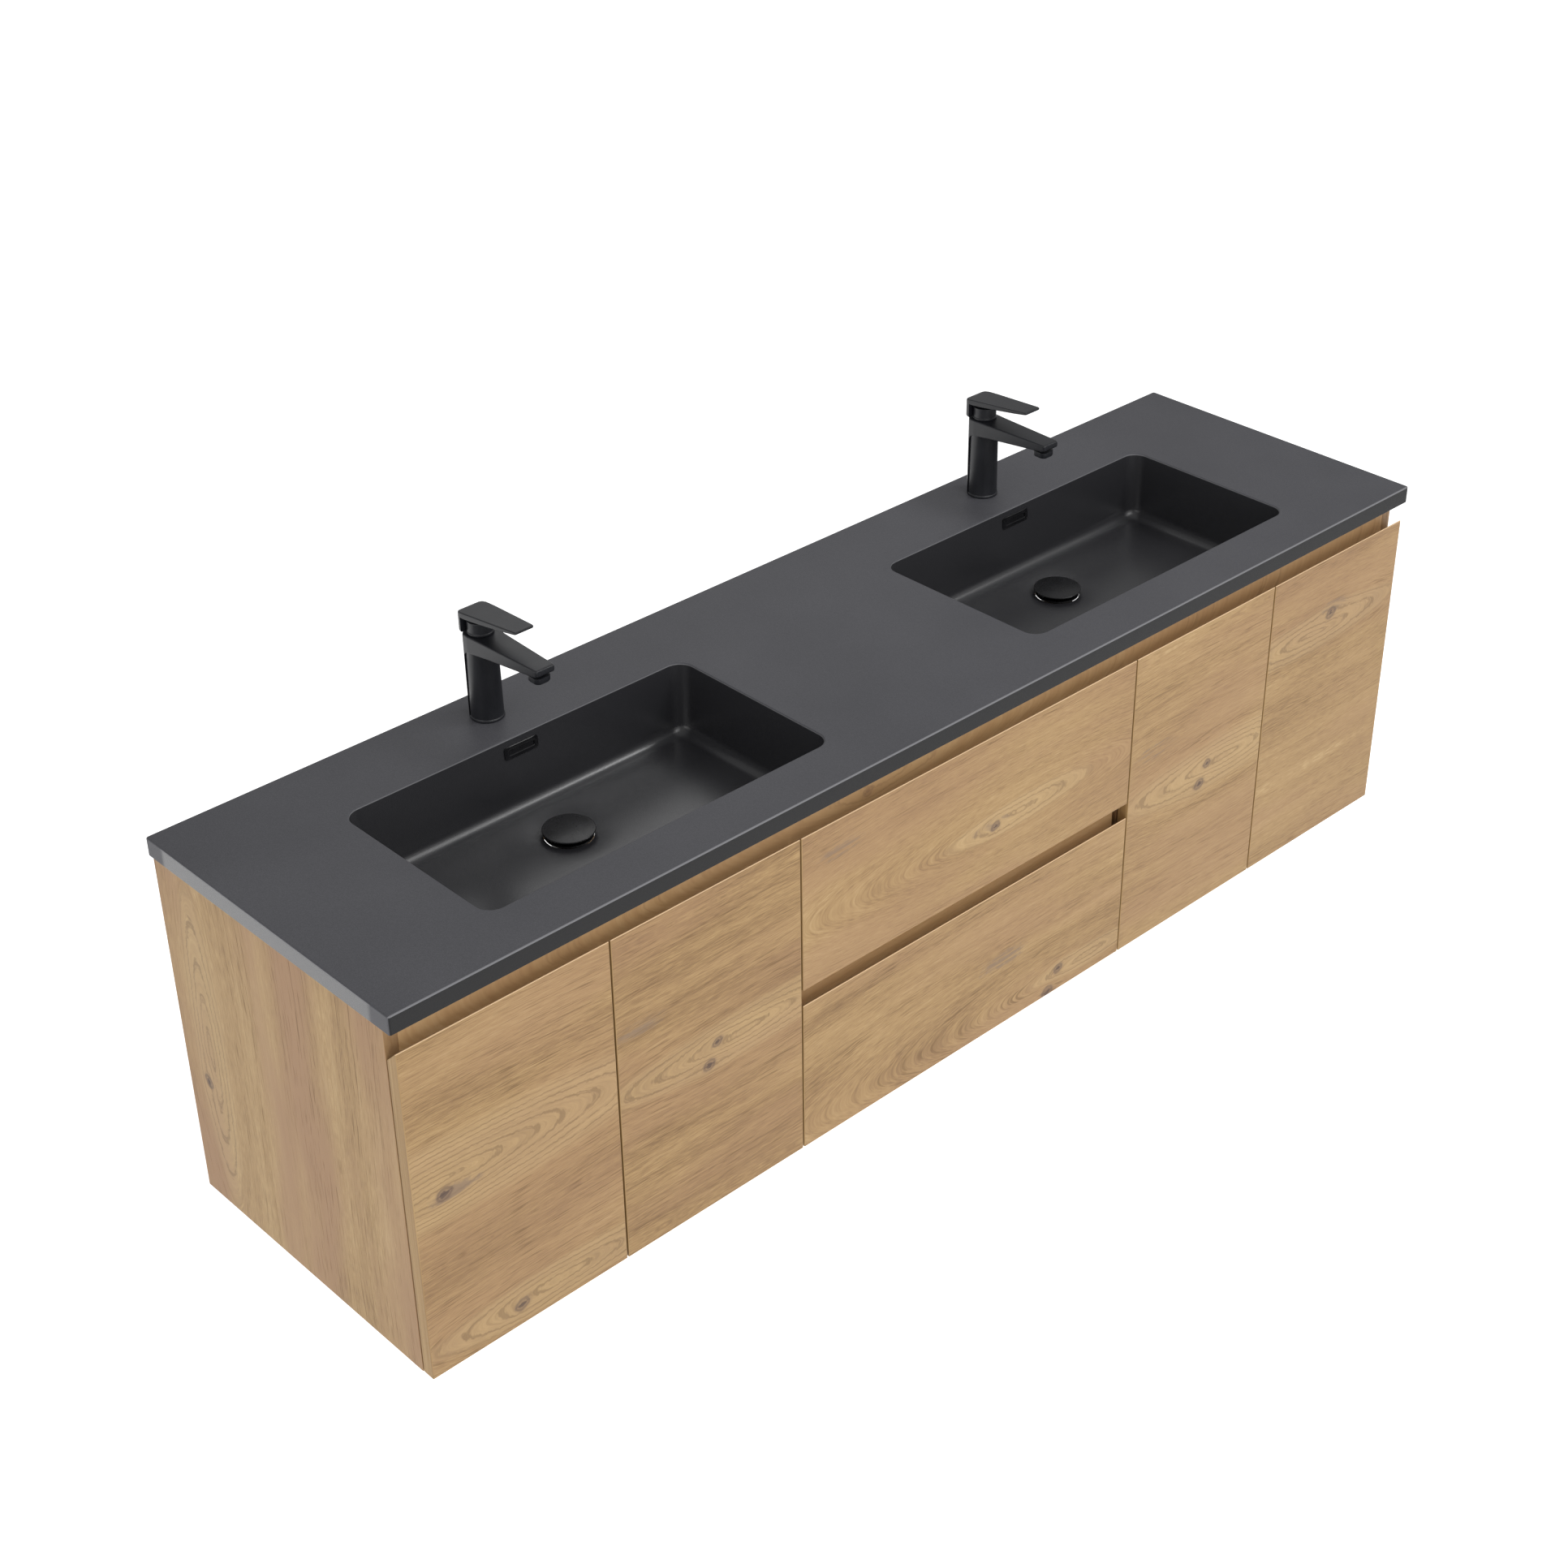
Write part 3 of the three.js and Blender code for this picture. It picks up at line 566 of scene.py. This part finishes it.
def merge(data):
    """Joins doubled points and drops faces that they flatten; faces are turned outwards."""
    work = bmesh.new()
    work.from_mesh(data)
    bmesh.ops.remove_doubles(work, verts=work.verts, dist=SAME_POINT)
    bmesh.ops.dissolve_degenerate(work, edges=work.edges, dist=SAME_POINT)
    bmesh.ops.recalc_face_normals(work, faces=work.faces)
    work.to_mesh(data)
    work.free()


def finish_piece(name, data, material, body, nodes):
    """Makes a skin into a piece: material, smooth shading with flat faces kept flat, and its ride."""
    data.name = name
    piece = bpy.data.objects.new(name, data)
    bpy.context.collection.objects.link(piece)
    data.materials.append(material)
    data.shade_smooth()
    data.set_sharp_from_angle(angle=SMOOTH_BELOW)
    weigh = piece.modifiers.new("even_normals", "WEIGHTED_NORMAL")
    weigh.keep_sharp = True
    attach(piece, body)
    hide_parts(*nodes)


def joined(*meshes):
    """Several meshes as one."""
    work = bmesh.new()
    for data in meshes:
        work.from_mesh(data)
    whole = bpy.data.meshes.new("joined")
    work.to_mesh(whole)
    work.free()
    return whole


def softened_prism(section, start, end, radius, steps=3):
    """A bar along +X whose edges are all rounded: (rows, points, 3) over a convex (y, z) section.

    The section's corners and both ends are pulled in by the radius and a ball of that radius is rolled
    over the rest: point = corner + radius * normal. Round a corner the normal turns from one side's
    normal to the next, and at an end it leans over to the bar's axis.
    """
    corners = np.asarray(section, float)
    sides = np.roll(corners, -1, 0) - corners
    sides /= np.linalg.norm(sides, axis=1, keepdims=True)
    after = np.stack([sides[:, 1], -sides[:, 0]], 1)  # outward normals of a counter-clockwise section
    before = np.roll(after, 1, 0)
    spread = 1 + np.sum(before * after, 1, keepdims=True)
    centres = corners - radius * (before + after) / spread
    part = np.linspace(0, 1, steps + 1)
    first = np.arctan2(before[:, 1], before[:, 0])
    turn = (np.arctan2(after[:, 1], after[:, 0]) - first) % (2 * np.pi)
    angle = (first[:, None] + turn[:, None] * part).ravel()
    normals = np.stack([np.cos(angle), np.sin(angle)], 1)
    hubs = np.repeat(centres, steps + 1, 0)

    lean = np.linspace(-np.pi / 2, 0, steps + 1)
    lean = np.concatenate([lean, -lean[::-1]])
    base = np.where(np.arange(lean.size) <= steps, start + radius, end - radius)
    along = base + radius * np.sin(lean)
    cross = hubs[None] + radius * np.cos(lean)[:, None, None] * normals[None]
    x = np.broadcast_to(along[:, None, None], (*cross.shape[:2], 1))
    return np.concatenate([x, cross], 2)


def box_section(low, high):
    """The (y, z) section of a board between two corners, counter-clockwise."""
    return [(low.y, low.z), (high.y, low.z), (high.y, high.z), (low.y, high.z)]


# %% [markdown]
# ## Boards
#
# Each oak board is a bar with its edges just broken, as edge banding leaves them. Doors and drawer
# fronts have a full 45 degree finger bevel on top that falls to the back. Hearts and knots are placed
# board by board, so no two fronts show the same figure.

# %% oak boards
EDGE = 0.8 * mm
TONGUE, FACE_SHORT = 6 * mm, 8 * mm  # the rail between the drawers: its tongue, and its face's setback


def board(node, material, body="carcass", section=None):
    """A node's box, or a section of its own, as a bar with broken edges."""
    low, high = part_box(node)
    rows = softened_prism(section or box_section(low, high), low.x, high.x, EDGE)
    finish_piece(node + "_board", skin(rows), material, body, [node])


def front_section(node):
    """Square below, with the upper edge falling back at 45 degrees."""
    low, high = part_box(node)
    drop = high.y - low.y
    return [(low.y, low.z), (high.y, low.z), (high.y, high.z - drop), (low.y, high.z)]


# Each front: hearts (along, across, reach), knots and smudges, then the seed of its streaks.
FRONTS = {
    "door_left_outer": dict(
        hearts=[(-0.872, -0.168, 0.070), (-0.70, -0.408, 0.034), (-0.72, 0.24, 0.02)],
        knots=[(-0.853, -0.186, 0.0082), (-0.762, -0.411, 0.0080)],
        smudges=[(-0.838, -0.190, 0.018)],
        seed=1.3,
        tone=-0.03,
    ),
    "door_left_inner": dict(
        hearts=[(-0.40, -0.196, 0.040), (-0.5, -0.66, 0.02), (-0.45, 0.22, 0.02)],
        knots=[(-0.461, -0.222, 0.0072), (-0.447, -0.194, 0.0060)],
        smudges=[(-0.565, -0.110, 0.020)],
        seed=4.1,
        tone=-0.12,
    ),
    "upper_drawer_front": dict(
        hearts=[(0.085, -0.100, 0.024), (0.0, 0.30, 0.02), (0.1, -0.50, 0.02)],
        knots=[(0.038, -0.107, 0.0060)],
        smudges=[(0.028, -0.104, 0.016), (-0.24, -0.012, 0.018)],
        seed=7.7,
        tone=-0.08,
    ),
    "lower_drawer_front": dict(
        hearts=[(0.235, -0.412, 0.020), (-0.1, 0.02, 0.02)],
        knots=[(0.178, -0.406, 0.0065), (0.157, -0.436, 0.0082)],
        smudges=[(0.062, -0.332, 0.022)],
        seed=10.9,
        tone=-0.06,
    ),
    "door_right_inner": dict(
        hearts=[(0.520, -0.205, 0.042), (0.45, 0.24, 0.02), (0.5, -0.64, 0.02)],
        knots=[(0.464, -0.231, 0.0076), (0.478, -0.203, 0.0060)],
        smudges=[(0.363, -0.132, 0.022)],
        seed=14.2,
        tone=-0.02,
    ),
    "door_right_outer": dict(
        hearts=[(0.705, -0.080, 0.034), (0.7, -0.55, 0.02)],
        knots=[(0.743, -0.063, 0.0080)],
        smudges=[(0.750, -0.052, 0.016)],
        seed=17.6,
        tone=-0.07,
    ),
}

for node, figure in FRONTS.items():
    body = node.removesuffix("_front") if "drawer" in node else node
    low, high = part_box(node)
    decor = oak(f"oak_{node}", "x", "z", **figure, ends=(low.x, high.x), arris=high.z)
    board(node, decor, body, front_section(node))

# The rails in the finger gaps carry painted light: a lighter tone and a paler colour laid over their oak
# stand in for the light that the fronts throw back at them.
RAIL_FIGURE = dict(
    hearts=[(-0.15, 0.034, 0.024), (0.3, -0.38, 0.02), (-0.5, 0.33, 0.02)],
    knots=[(-0.175, 0.031, 0.006)],
    seed=21.0,
)
gap_oak_painted_lighter = oak("oak_gap_rails_painted_light", "x", "z", **RAIL_FIGURE, tone=0.10, painted_light_share=0.35)
rail_oak = oak("oak_rails", "x", "z", **RAIL_FIGURE, tone=0.05)
# The sides' oak takes more of the pinker blush (rose 0.9) than the fronts': painted light, standing for the
# cooler light that falls on the sides.
side_oak = oak(
    "oak_sides",
    "z",
    "y",
    hearts=[(-0.19, -0.066, 0.040), (-0.3, -0.60, 0.02), (-0.1, 0.28, 0.02)],
    knots=[(-0.251, -0.046, 0.0072)],
    seed=25.4,
    tone=0.05,
    rose=0.9,
)
board("top_rail", gap_oak_painted_lighter)
for node in ("bottom_panel", "hanging_rail"):
    board(node, rail_oak)
for node in ("side_panel_left", "side_panel_right"):
    board(node, side_oak)


def mid_rail():
    """A face layer that stops short of the partitions and a tongue behind it that meets them."""
    low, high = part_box("mid_rail")
    step, short = high.y - TONGUE, FACE_SHORT
    face_section = box_section(low, Vector((0, step, high.z)))
    tongue_section = box_section(Vector((0, step, low.z)), high)
    face = softened_prism(face_section, low.x + short, high.x - short, EDGE)
    tongue = softened_prism(tongue_section, low.x, high.x, EDGE)
    finish_piece("mid_rail_board", joined(skin(face), skin(tongue)), gap_oak_painted_lighter, "carcass", ["mid_rail"])


def dress(node, material):
    """Gives a solid of the frame its material."""
    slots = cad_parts[node].data.materials
    slots.clear()
    slots.append(material)


mid_rail()
for side in ("left", "right"):
    dress("partition_" + side, side_oak)
print("boards:", len(FRONTS) + 6)

# %% [markdown]
# ## Countertop and basins
#
# The countertop and both basins are one moulding. Each half is one skin: its rows start round the edge
# of the slab, cross the top to the basin's rim, roll over the lip, run down the wall, round the fillet
# and across the sloping floor to the waste hole, then come back underneath. The two halves share the
# middle line, where no wall is made.

# %% countertop
BASIN_WIDTH, BASIN_DEPTH, BASIN_FRONT = 0.526, 0.278, 0.076
BASIN_CORNER, BASIN_LIP, BASIN_FILLET = 22 * mm, 2.2 * mm, 16 * mm
BASIN_FLOOR, BASIN_SUMP, BASIN_DRAFT, BASIN_WALL = 100 * mm, 107 * mm, 6 * mm, 8 * mm
SLAB_EDGE, SLAB_CORNER = 2.0 * mm, 3.0 * mm
WASTE_HOLE = 31.4 * mm
ARC_STEPS, SIDE_STEPS = 10, 14


def outline(x0, x1, y0, y1, radii, z):
    """A rectangle with four corner radii, counter-clockwise from the right end of the back edge.

    Each corner is a quarter circle of ARC_STEPS chords, and each straight is cut in SIDE_STEPS, so that
    any two outlines have matching points.
    """
    radii = np.broadcast_to(radii, 4)
    hubs = np.array([(x1, y1), (x0, y1), (x0, y0), (x1, y0)])
    inward = np.array([(-1, -1), (1, -1), (1, 1), (-1, 1)])
    hubs = hubs + inward * radii[:, None]
    quarter = np.linspace(0, np.pi / 2, ARC_STEPS + 1)
    angle = quarter[None] + (np.arange(4) * np.pi / 2)[:, None]
    arcs = hubs[:, None] + radii[:, None, None] * np.stack([np.cos(angle), np.sin(angle)], -1)
    part = np.linspace(0, 1, SIDE_STEPS + 1)[1:-1, None]
    ends = np.roll(arcs[:, 0], -1, 0)
    straights = arcs[:, -1][:, None] * (1 - part) + ends[:, None] * part
    ring = np.concatenate([arcs, straights], 1).reshape(-1, 2)
    return np.column_stack([ring, np.broadcast_to(z, len(ring))])


def half_slab(sign, inset, z, corner):
    """The outline of one half of the slab, from the middle line to its end."""
    y0, y1 = FRONT_Y + inset, WALL_Y - inset
    end = HALF_WIDTH - inset
    if sign > 0:
        return outline(0, end, y0, y1, [corner, 0, 0, corner], z)
    return outline(-end, 0, y0, y1, [0, corner, corner, 0], z)


def basin_outline(centre_x, inset, z):
    """The basin's outline, pulled in from its rim by an inset; its corners tighten by half of that."""
    half_w, half_d = BASIN_WIDTH / 2 - inset, BASIN_DEPTH / 2 - inset
    centre_y = FRONT_Y + BASIN_FRONT + BASIN_DEPTH / 2
    corner = BASIN_CORNER - inset / 2
    return outline(centre_x - half_w, centre_x + half_w, centre_y - half_d, centre_y + half_d, corner, z)


def basin_rows(centre_x, waste, wall=0.0):
    """Rows from the rim to the waste. A wall thickness gives the basin's outside instead.

    The wall leans in by the draft; the fillet is a quarter turn. The floor runs along rays to the waste
    and falls as an elliptical dish, (1 - u^2 - v^2)^2, with a round sump let into it: both start level,
    so neither leaves a crease.
    """
    rows = []
    straight = BASIN_FLOOR - BASIN_FILLET
    if wall:
        rows.append(basin_outline(centre_x, -wall, UNDER_Z))
    else:
        for turn in np.linspace(0, np.pi / 2, 5):
            inset = BASIN_LIP * (np.sin(turn) - 1)
            rows.append(basin_outline(centre_x, inset, TOP_Z - BASIN_LIP * (1 - np.cos(turn))))
    for part in (0.25, 0.5, 0.75):
        rows.append(basin_outline(centre_x, BASIN_DRAFT * part - wall, TOP_Z - straight * part))
    fillet = BASIN_FILLET + wall
    for turn in np.linspace(0, np.pi / 2, 9):
        inset = BASIN_DRAFT - wall + fillet * (1 - np.cos(turn))
        rows.append(basin_outline(centre_x, inset, TOP_Z - straight - fillet * np.sin(turn)))
    foot = rows[-1]
    ray = foot[:, :2] - waste
    rim = waste + ray / np.linalg.norm(ray, axis=1, keepdims=True) * WASTE_HOLE
    span_x = np.abs(ray[:, 0]).max()
    span_y = np.where(ray[:, 1] > 0, ray[:, 1].max(), -ray[:, 1].min())
    near_wall = span_y.min() - WASTE_HOLE
    for part in np.linspace(0, 1, 19)[1:]:
        flat = foot[:, :2] * (1 - part) + rim * part
        off = flat - waste
        dish = 1 - np.minimum(1, (off[:, 0] / span_x) ** 2 + (off[:, 1] / span_y) ** 2)
        sump = 1 - np.clip((np.linalg.norm(off, axis=1) - WASTE_HOLE) / near_wall, 0, 1)
        fall = 0.7 * dish**2 * (1 - sump**2) + sump**2
        rows.append(np.column_stack([flat, foot[:, 2] - (BASIN_SUMP - BASIN_FLOOR) * fall]))
    return rows


def countertop():
    halves = []
    for side, sign in (("left", -1), ("right", 1)):
        waste = np.array(middle("waste_cap_" + side))[:2]
        rows = [half_slab(sign, SLAB_EDGE, UNDER_Z, SLAB_CORNER - SLAB_EDGE / 2)]
        for turn in np.linspace(0, np.pi / 2, 4):
            lift = SLAB_EDGE * (1 - np.cos(turn))
            inset = SLAB_EDGE * (1 - np.sin(turn)) * 0.5
            rows.append(half_slab(sign, inset, UNDER_Z + lift * 0.5, SLAB_CORNER))
        for turn in np.linspace(0, np.pi / 2, 6):
            inset = SLAB_EDGE * (1 - np.cos(turn))
            z = TOP_Z - SLAB_EDGE * (1 - np.sin(turn))
            rows.append(half_slab(sign, inset, z, SLAB_CORNER - inset / 2))
        rows += basin_rows(waste[0], waste)
        rows += basin_rows(waste[0], waste, BASIN_WALL)[::-1]
        halves.append(skin(rows, "loop"))
    whole = joined(*halves)
    open_middle(whole)
    merge(whole)
    return whole


def open_middle(data):
    """Drops the faces that lie on the middle line, where the two halves meet."""
    work = bmesh.new()
    work.from_mesh(data)
    inner = [face for face in work.faces if all(abs(vert.co.x) < 1e-7 for vert in face.verts)]
    bmesh.ops.delete(work, geom=inner, context="FACES")
    work.to_mesh(data)
    work.free()


top_mesh = countertop()
top_nodes = [name + side for name in ("vanity_top_", "basin_") for side in ("left", "right")]
finish_piece("countertop_with_basins", top_mesh, COMPOSITE, "carcass", top_nodes)
print("countertop:", len(top_mesh.polygons), "faces")

# %% [markdown]
# ## Wastes and overflows
#
# Each waste cap is a shallow dome turned on its axis, so its skin is a profile carried round a circle.
# The overflow's frame is a rounded rectangle let into the back wall, with a slot.


# %% turned pieces
CAP_DOME, CAP_DEPTH = 1.2 * mm, 3.6 * mm
STEM, STEM_LENGTH = 4 * mm, 33 * mm
OVERFLOW_HALF_HEIGHT, OVERFLOW_PROUD = 9 * mm, 1.8 * mm
SLOT_MARGIN, SLOT_HALF_HEIGHT = 6 * mm, 3.5 * mm


def turned(profile, centre, sides=64):
    """A profile of (radius, height) carried round an upright axis: x = r cos a, y = r sin a from centre."""
    profile = np.asarray(profile, float)
    angle = np.linspace(0, 2 * np.pi, sides, endpoint=False)
    x = centre[0] + profile[:, :1] * np.cos(angle)
    y = centre[1] + profile[:, :1] * np.sin(angle)
    z = np.broadcast_to(centre[2] + profile[:, 1:], x.shape)
    return np.stack([x, y, z], -1)


def rounded(points, radius, steps=5):
    """An open profile with each inner corner rounded: a quadratic curve between points set back from it."""
    points = [np.asarray(p, float) for p in points]
    out = [points[0]]
    for before, here, after in zip(points, points[1:], points[2:]):
        back, on = before - here, after - here
        reach = min(radius, 0.45 * np.linalg.norm(back), 0.45 * np.linalg.norm(on))
        a = here + back / np.linalg.norm(back) * reach
        b = here + on / np.linalg.norm(on) * reach
        t = np.linspace(0, 1, steps + 1)[:, None]
        out += list((1 - t) ** 2 * a + 2 * t * (1 - t) * here + t**2 * b)
    return np.array(out + [points[-1]])


def waste_cap(side):
    """A dome of height h (1 - r^2) over a rounded rim, on a stem."""
    node = "waste_cap_" + side
    low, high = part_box(node)
    centre = middle(node)
    radius = (high.x - low.x) / 2
    out = np.linspace(1, 0.002, 14)
    dome = np.column_stack([(radius - CAP_DOME) * out, CAP_DOME * (1 - out**2) - CAP_DOME])
    rim = rounded([(0.3 * radius, -CAP_DEPTH), (radius, -3.4 * mm), (radius, -1.1 * mm), dome[1]], 1.3 * mm)
    stem = [(0.002 * radius, -STEM_LENGTH), (STEM, -STEM_LENGTH), (STEM, -CAP_DEPTH)]
    rows = turned(np.vstack([stem, rim, dome[2:]]), (centre.x, centre.y, high.z))
    finish_piece(f"waste_dome_{side}", skin(rows), GLOSS, node, [node])


def overflow_frame(side):
    """A frame of rows round the slot: outside edge, proud face, inner edge and the slot's dark walls."""
    node = "overflow_cover_" + side
    low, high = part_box(node)
    centre = middle(node)
    lean = math.atan(BASIN_DRAFT / (BASIN_FLOOR - BASIN_FILLET))
    half_w, half_h = (high.x - low.x) / 2, OVERFLOW_HALF_HEIGHT
    slot_w, slot_h = half_w - SLOT_MARGIN, SLOT_HALF_HEIGHT
    # Each level: how far it has gone from the outline to the slot, across and down, and how proud it is.
    levels = [(0, 0, 0.2), (0, 0, 1.2), (0.6, 0.15, 1.8), (0.85, 0.8, 1.8), (1, 1, 1.2), (1, 1, -7.5)]
    rows = []
    for across, down, proud in levels:
        w = half_w + (slot_w - half_w) * across
        h = half_h + (slot_h - half_h) * down
        ring = outline(-w, w, -h, h, min(w, h) * 0.45, 0)
        rows.append(np.column_stack([ring[:, 0], -proud * mm * np.ones(len(ring)), ring[:, 1]]))
    rows = np.array(rows)
    turn = np.array([[math.cos(lean), math.sin(lean)], [-math.sin(lean), math.cos(lean)]])
    rows[..., 1:] = rows[..., 1:] @ turn.T
    face_y = low.y + OVERFLOW_PROUD + OVERFLOW_HALF_HEIGHT * math.sin(lean)
    rows += np.array([centre.x, face_y, centre.z])
    finish_piece(f"overflow_frame_{side}", skin(rows), GLOSS, "carcass", [node])


for side in ("left", "right"):
    waste_cap(side)
    overflow_frame(side)
print("waste domes and overflow frames made")

# %% [markdown]
# ## Taps
#
# A tap here is a round column with an angular shell over it: a narrow back strip that flows into a flat,
# tapered spout. The lever repeats the same shape upside down: a flat plate with a skirt behind the neck.
# Both are rows of upright sections set one behind the other from the tip to the back, each section a
# rectangle with softened corners whose width, top and bottom are curves of y. The taps' sizes are in
# millimetres from the foot of their axis.


# %% upright sections
def upright_section(half, low, high, radius, steps=4):
    """A rounded rectangle in x and z: corners are quarter circles."""
    angle = (np.linspace(0, 1, steps + 1)[None] + np.arange(4)[:, None]) * np.pi / 2
    hub_x = np.array([1, -1, -1, 1])[:, None] * (half - radius)
    hub_z = np.array([high - radius, high - radius, low + radius, low + radius])[:, None]
    return np.stack([hub_x + radius * np.cos(angle), hub_z + radius * np.sin(angle)], -1).reshape(-1, 2)


def shell_rows(stations, centre):
    """Rows through stations (y, half width, bottom, top, corner radius), in millimetres, y forward first."""
    rows = []
    for y, half, low, high, radius in stations:
        ring = upright_section(half, low, high, min(radius, 0.49 * (high - low), 0.98 * half)) * mm
        rows.append(np.column_stack([ring[:, 0], np.full(len(ring), y * mm), ring[:, 1]]))
    return np.array(rows) + np.array(centre)


def between(y, marks):
    """A curve of y through marks (y, value), straight between them."""
    return float(np.interp(y, *zip(*sorted(marks))))


def soft_end(distance, length):
    """How far a rounded tip has opened: 0 at the tip and 1 past the length, along a quarter circle."""
    return math.sqrt(max(0.0, 1 - (1 - min(1, distance / length)) ** 2))


# %% tap body
SPOUT_REACH, TAP_BACK, STRIP_FRONT = 126.0, 21.5, 12.0


def tap_foot(side):
    """The foot of the tap's axis on the countertop, and the height of its body in millimetres."""
    low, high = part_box("tap_body_" + side)
    return ((low.x + high.x) / 2, low.y + SPOUT_REACH * mm, TOP_Z), (high.z - TOP_Z) / mm


def black_piece(name, data, node, body="carcass"):
    """A coated piece in place of one node."""
    finish_piece(name, data, BLACK, body, [node])


def tap_body(side):
    """A turned core that narrows upwards over a fine foot ring, inside the shell of strip and spout."""
    centre, top = tap_foot(side)
    core = [(0.1, 0), (21.8, 0), (21.8, 3.2), (20.9, 4.2), (19.8, top - 2), (0.1, top - 2)]
    column = turned(rounded(core, 1.2) * mm, centre)

    stations = []
    root = (STRIP_FRONT - 7, STRIP_FRONT - 4, STRIP_FRONT - 2, STRIP_FRONT - 0.8)
    for y in (-126, -125.6, -124.6, -122, -110, -90, -60, -30, 0, *root):
        soft = soft_end(y + SPOUT_REACH, 4)
        half = between(y, [(-126, 14.2), (-30, 18.6), (0, 20.4), (STRIP_FRONT, 19.4)]) - 1.6 * (1 - soft)
        under = between(y, [(-126, top - 10), (-20, top - 21), (STRIP_FRONT, top - 25)]) + 3.2 * (1 - soft)
        into_strip = y - STRIP_FRONT + 9  # the spout's underside rounds down into the strip over 9 mm
        if into_strip > 0:
            under -= 12 * (1 - math.sqrt(max(0.0, 1 - (into_strip / 9) ** 2)))
        stations.append((y, half, under, top - 1.6 * (1 - soft), 1.8))
    for y in (*(STRIP_FRONT + step for step in (0, 3, 5.5, 7.5)), TAP_BACK - 0.7, TAP_BACK - 0.1):
        half = min(19.4, math.sqrt(max(0.0, 21.7**2 - y**2)) + 0.9)
        stations.append((y, half, 0.5, top - (0.8 if y > TAP_BACK - 1 else 0), 2.2))
    shell = shell_rows(stations, centre)
    black_piece(f"tap_{side}", joined(skin(column), skin(shell)), "tap_body_" + side)


# %% aerator and neck
def aerator(side):
    """A soft-cornered nozzle under the tip: outlines of (inset, height) one above the other."""
    node = "tap_aerator_" + side
    low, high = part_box(node)
    x, y = middle(node).xy
    rows = []
    for inset, z in ((9, 0.6), (3.0, 0.6), (2.2, 0), (1.2, 0.3), (0, 2.4), (0, 8.5)):
        half = (high.x - low.x) / 2 - inset * mm
        rows.append(outline(x - half, x + half, y - half, y + half, 0.6 * half, low.z + z * mm))
    black_piece(f"aerator_{side}", skin(rows), node)


def tap_neck(side):
    """A turned dome with a bead at its foot."""
    centre, top = tap_foot(side)
    profile = [(0.1, 0.3), (17, 0.3), (17, 3), (16.4, 3.6), (16.4, 18), (0.1, 20)]
    neck = turned(rounded([(radius, top + height) for radius, height in profile], 0.9) * mm, centre)
    black_piece(f"tap_neck_{side}", skin(neck), "tap_cartridge_" + side, "tap_swivel_" + side)


# %% lever
LEVER_TIP, LEVER_JOINT = -90, 1.6  # the joint is the gap between the body and the lever


def tap_lever(side):
    """A plate that rises to its tip, and a skirt behind the neck."""
    centre, top = tap_foot(side)
    stations = []
    tip, inner, back = LEVER_TIP, STRIP_FRONT, TAP_BACK
    for y in (tip, tip + 0.4, tip + 1.4, tip + 4, -70, -40, -10, 5, inner - 3, inner - 1, inner):
        soft = soft_end(y - tip, 3)
        half = between(y, [(tip, 14.6), (0, 20.2), (inner, 20.4)]) - 2.2 * (1 - soft)
        over = between(y, [(tip, 157), (0, 149), (inner, 147.6)]) - 0.8 * (1 - soft)
        under = between(y, [(tip, 153.2), (-60, 148), (0, 140.4), (inner, 139.8)]) + 0.8 * (1 - soft)
        stations.append((y, half, under, over, 1.5))
    for y in (inner + 0.3, inner + 3, inner + 5.5, inner + 7.5, back - 0.8, back):
        part = (y - inner) / (back - inner)
        fall = 1 - math.sqrt(1 - min(0.995, part) ** 2)
        stations.append((y, 20.4 - 7.5 * fall, top + LEVER_JOINT, 147.6 - 0.5 * part - 2.5 * fall, 2.2))
    node = "tap_lever_" + side
    black_piece(f"lever_{side}", skin(shell_rows(stations, centre)), node, node)


for side in ("left", "right"):
    tap_body(side)
    aerator(side)
    tap_neck(side)
    tap_lever(side)
print("taps made")

# %% [markdown]
# ## Fittings
#
# Hinges, runners and waste bodies keep the solids of the frame, whose shapes are right. They only need
# their metal or their black coat, and the drawers' boxes their boards.

# %% fittings
FITTINGS = {
    "hinge_": STEEL,
    "runner_": STEEL,
    "waste_body_": GLOSS,
    "drawer_side": POWDER,
    "drawer_bottom": LIGHT_BOARD,
    "drawer_back": LIGHT_BOARD,
}
dressed = 0
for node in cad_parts:
    for part, material in FITTINGS.items():
        if part in node:
            dress(node, material)
            dressed += 1
print("fittings dressed:", dressed)

# %% finish
low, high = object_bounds()
print("visual box:", [round(v, 4) for v in high - low])
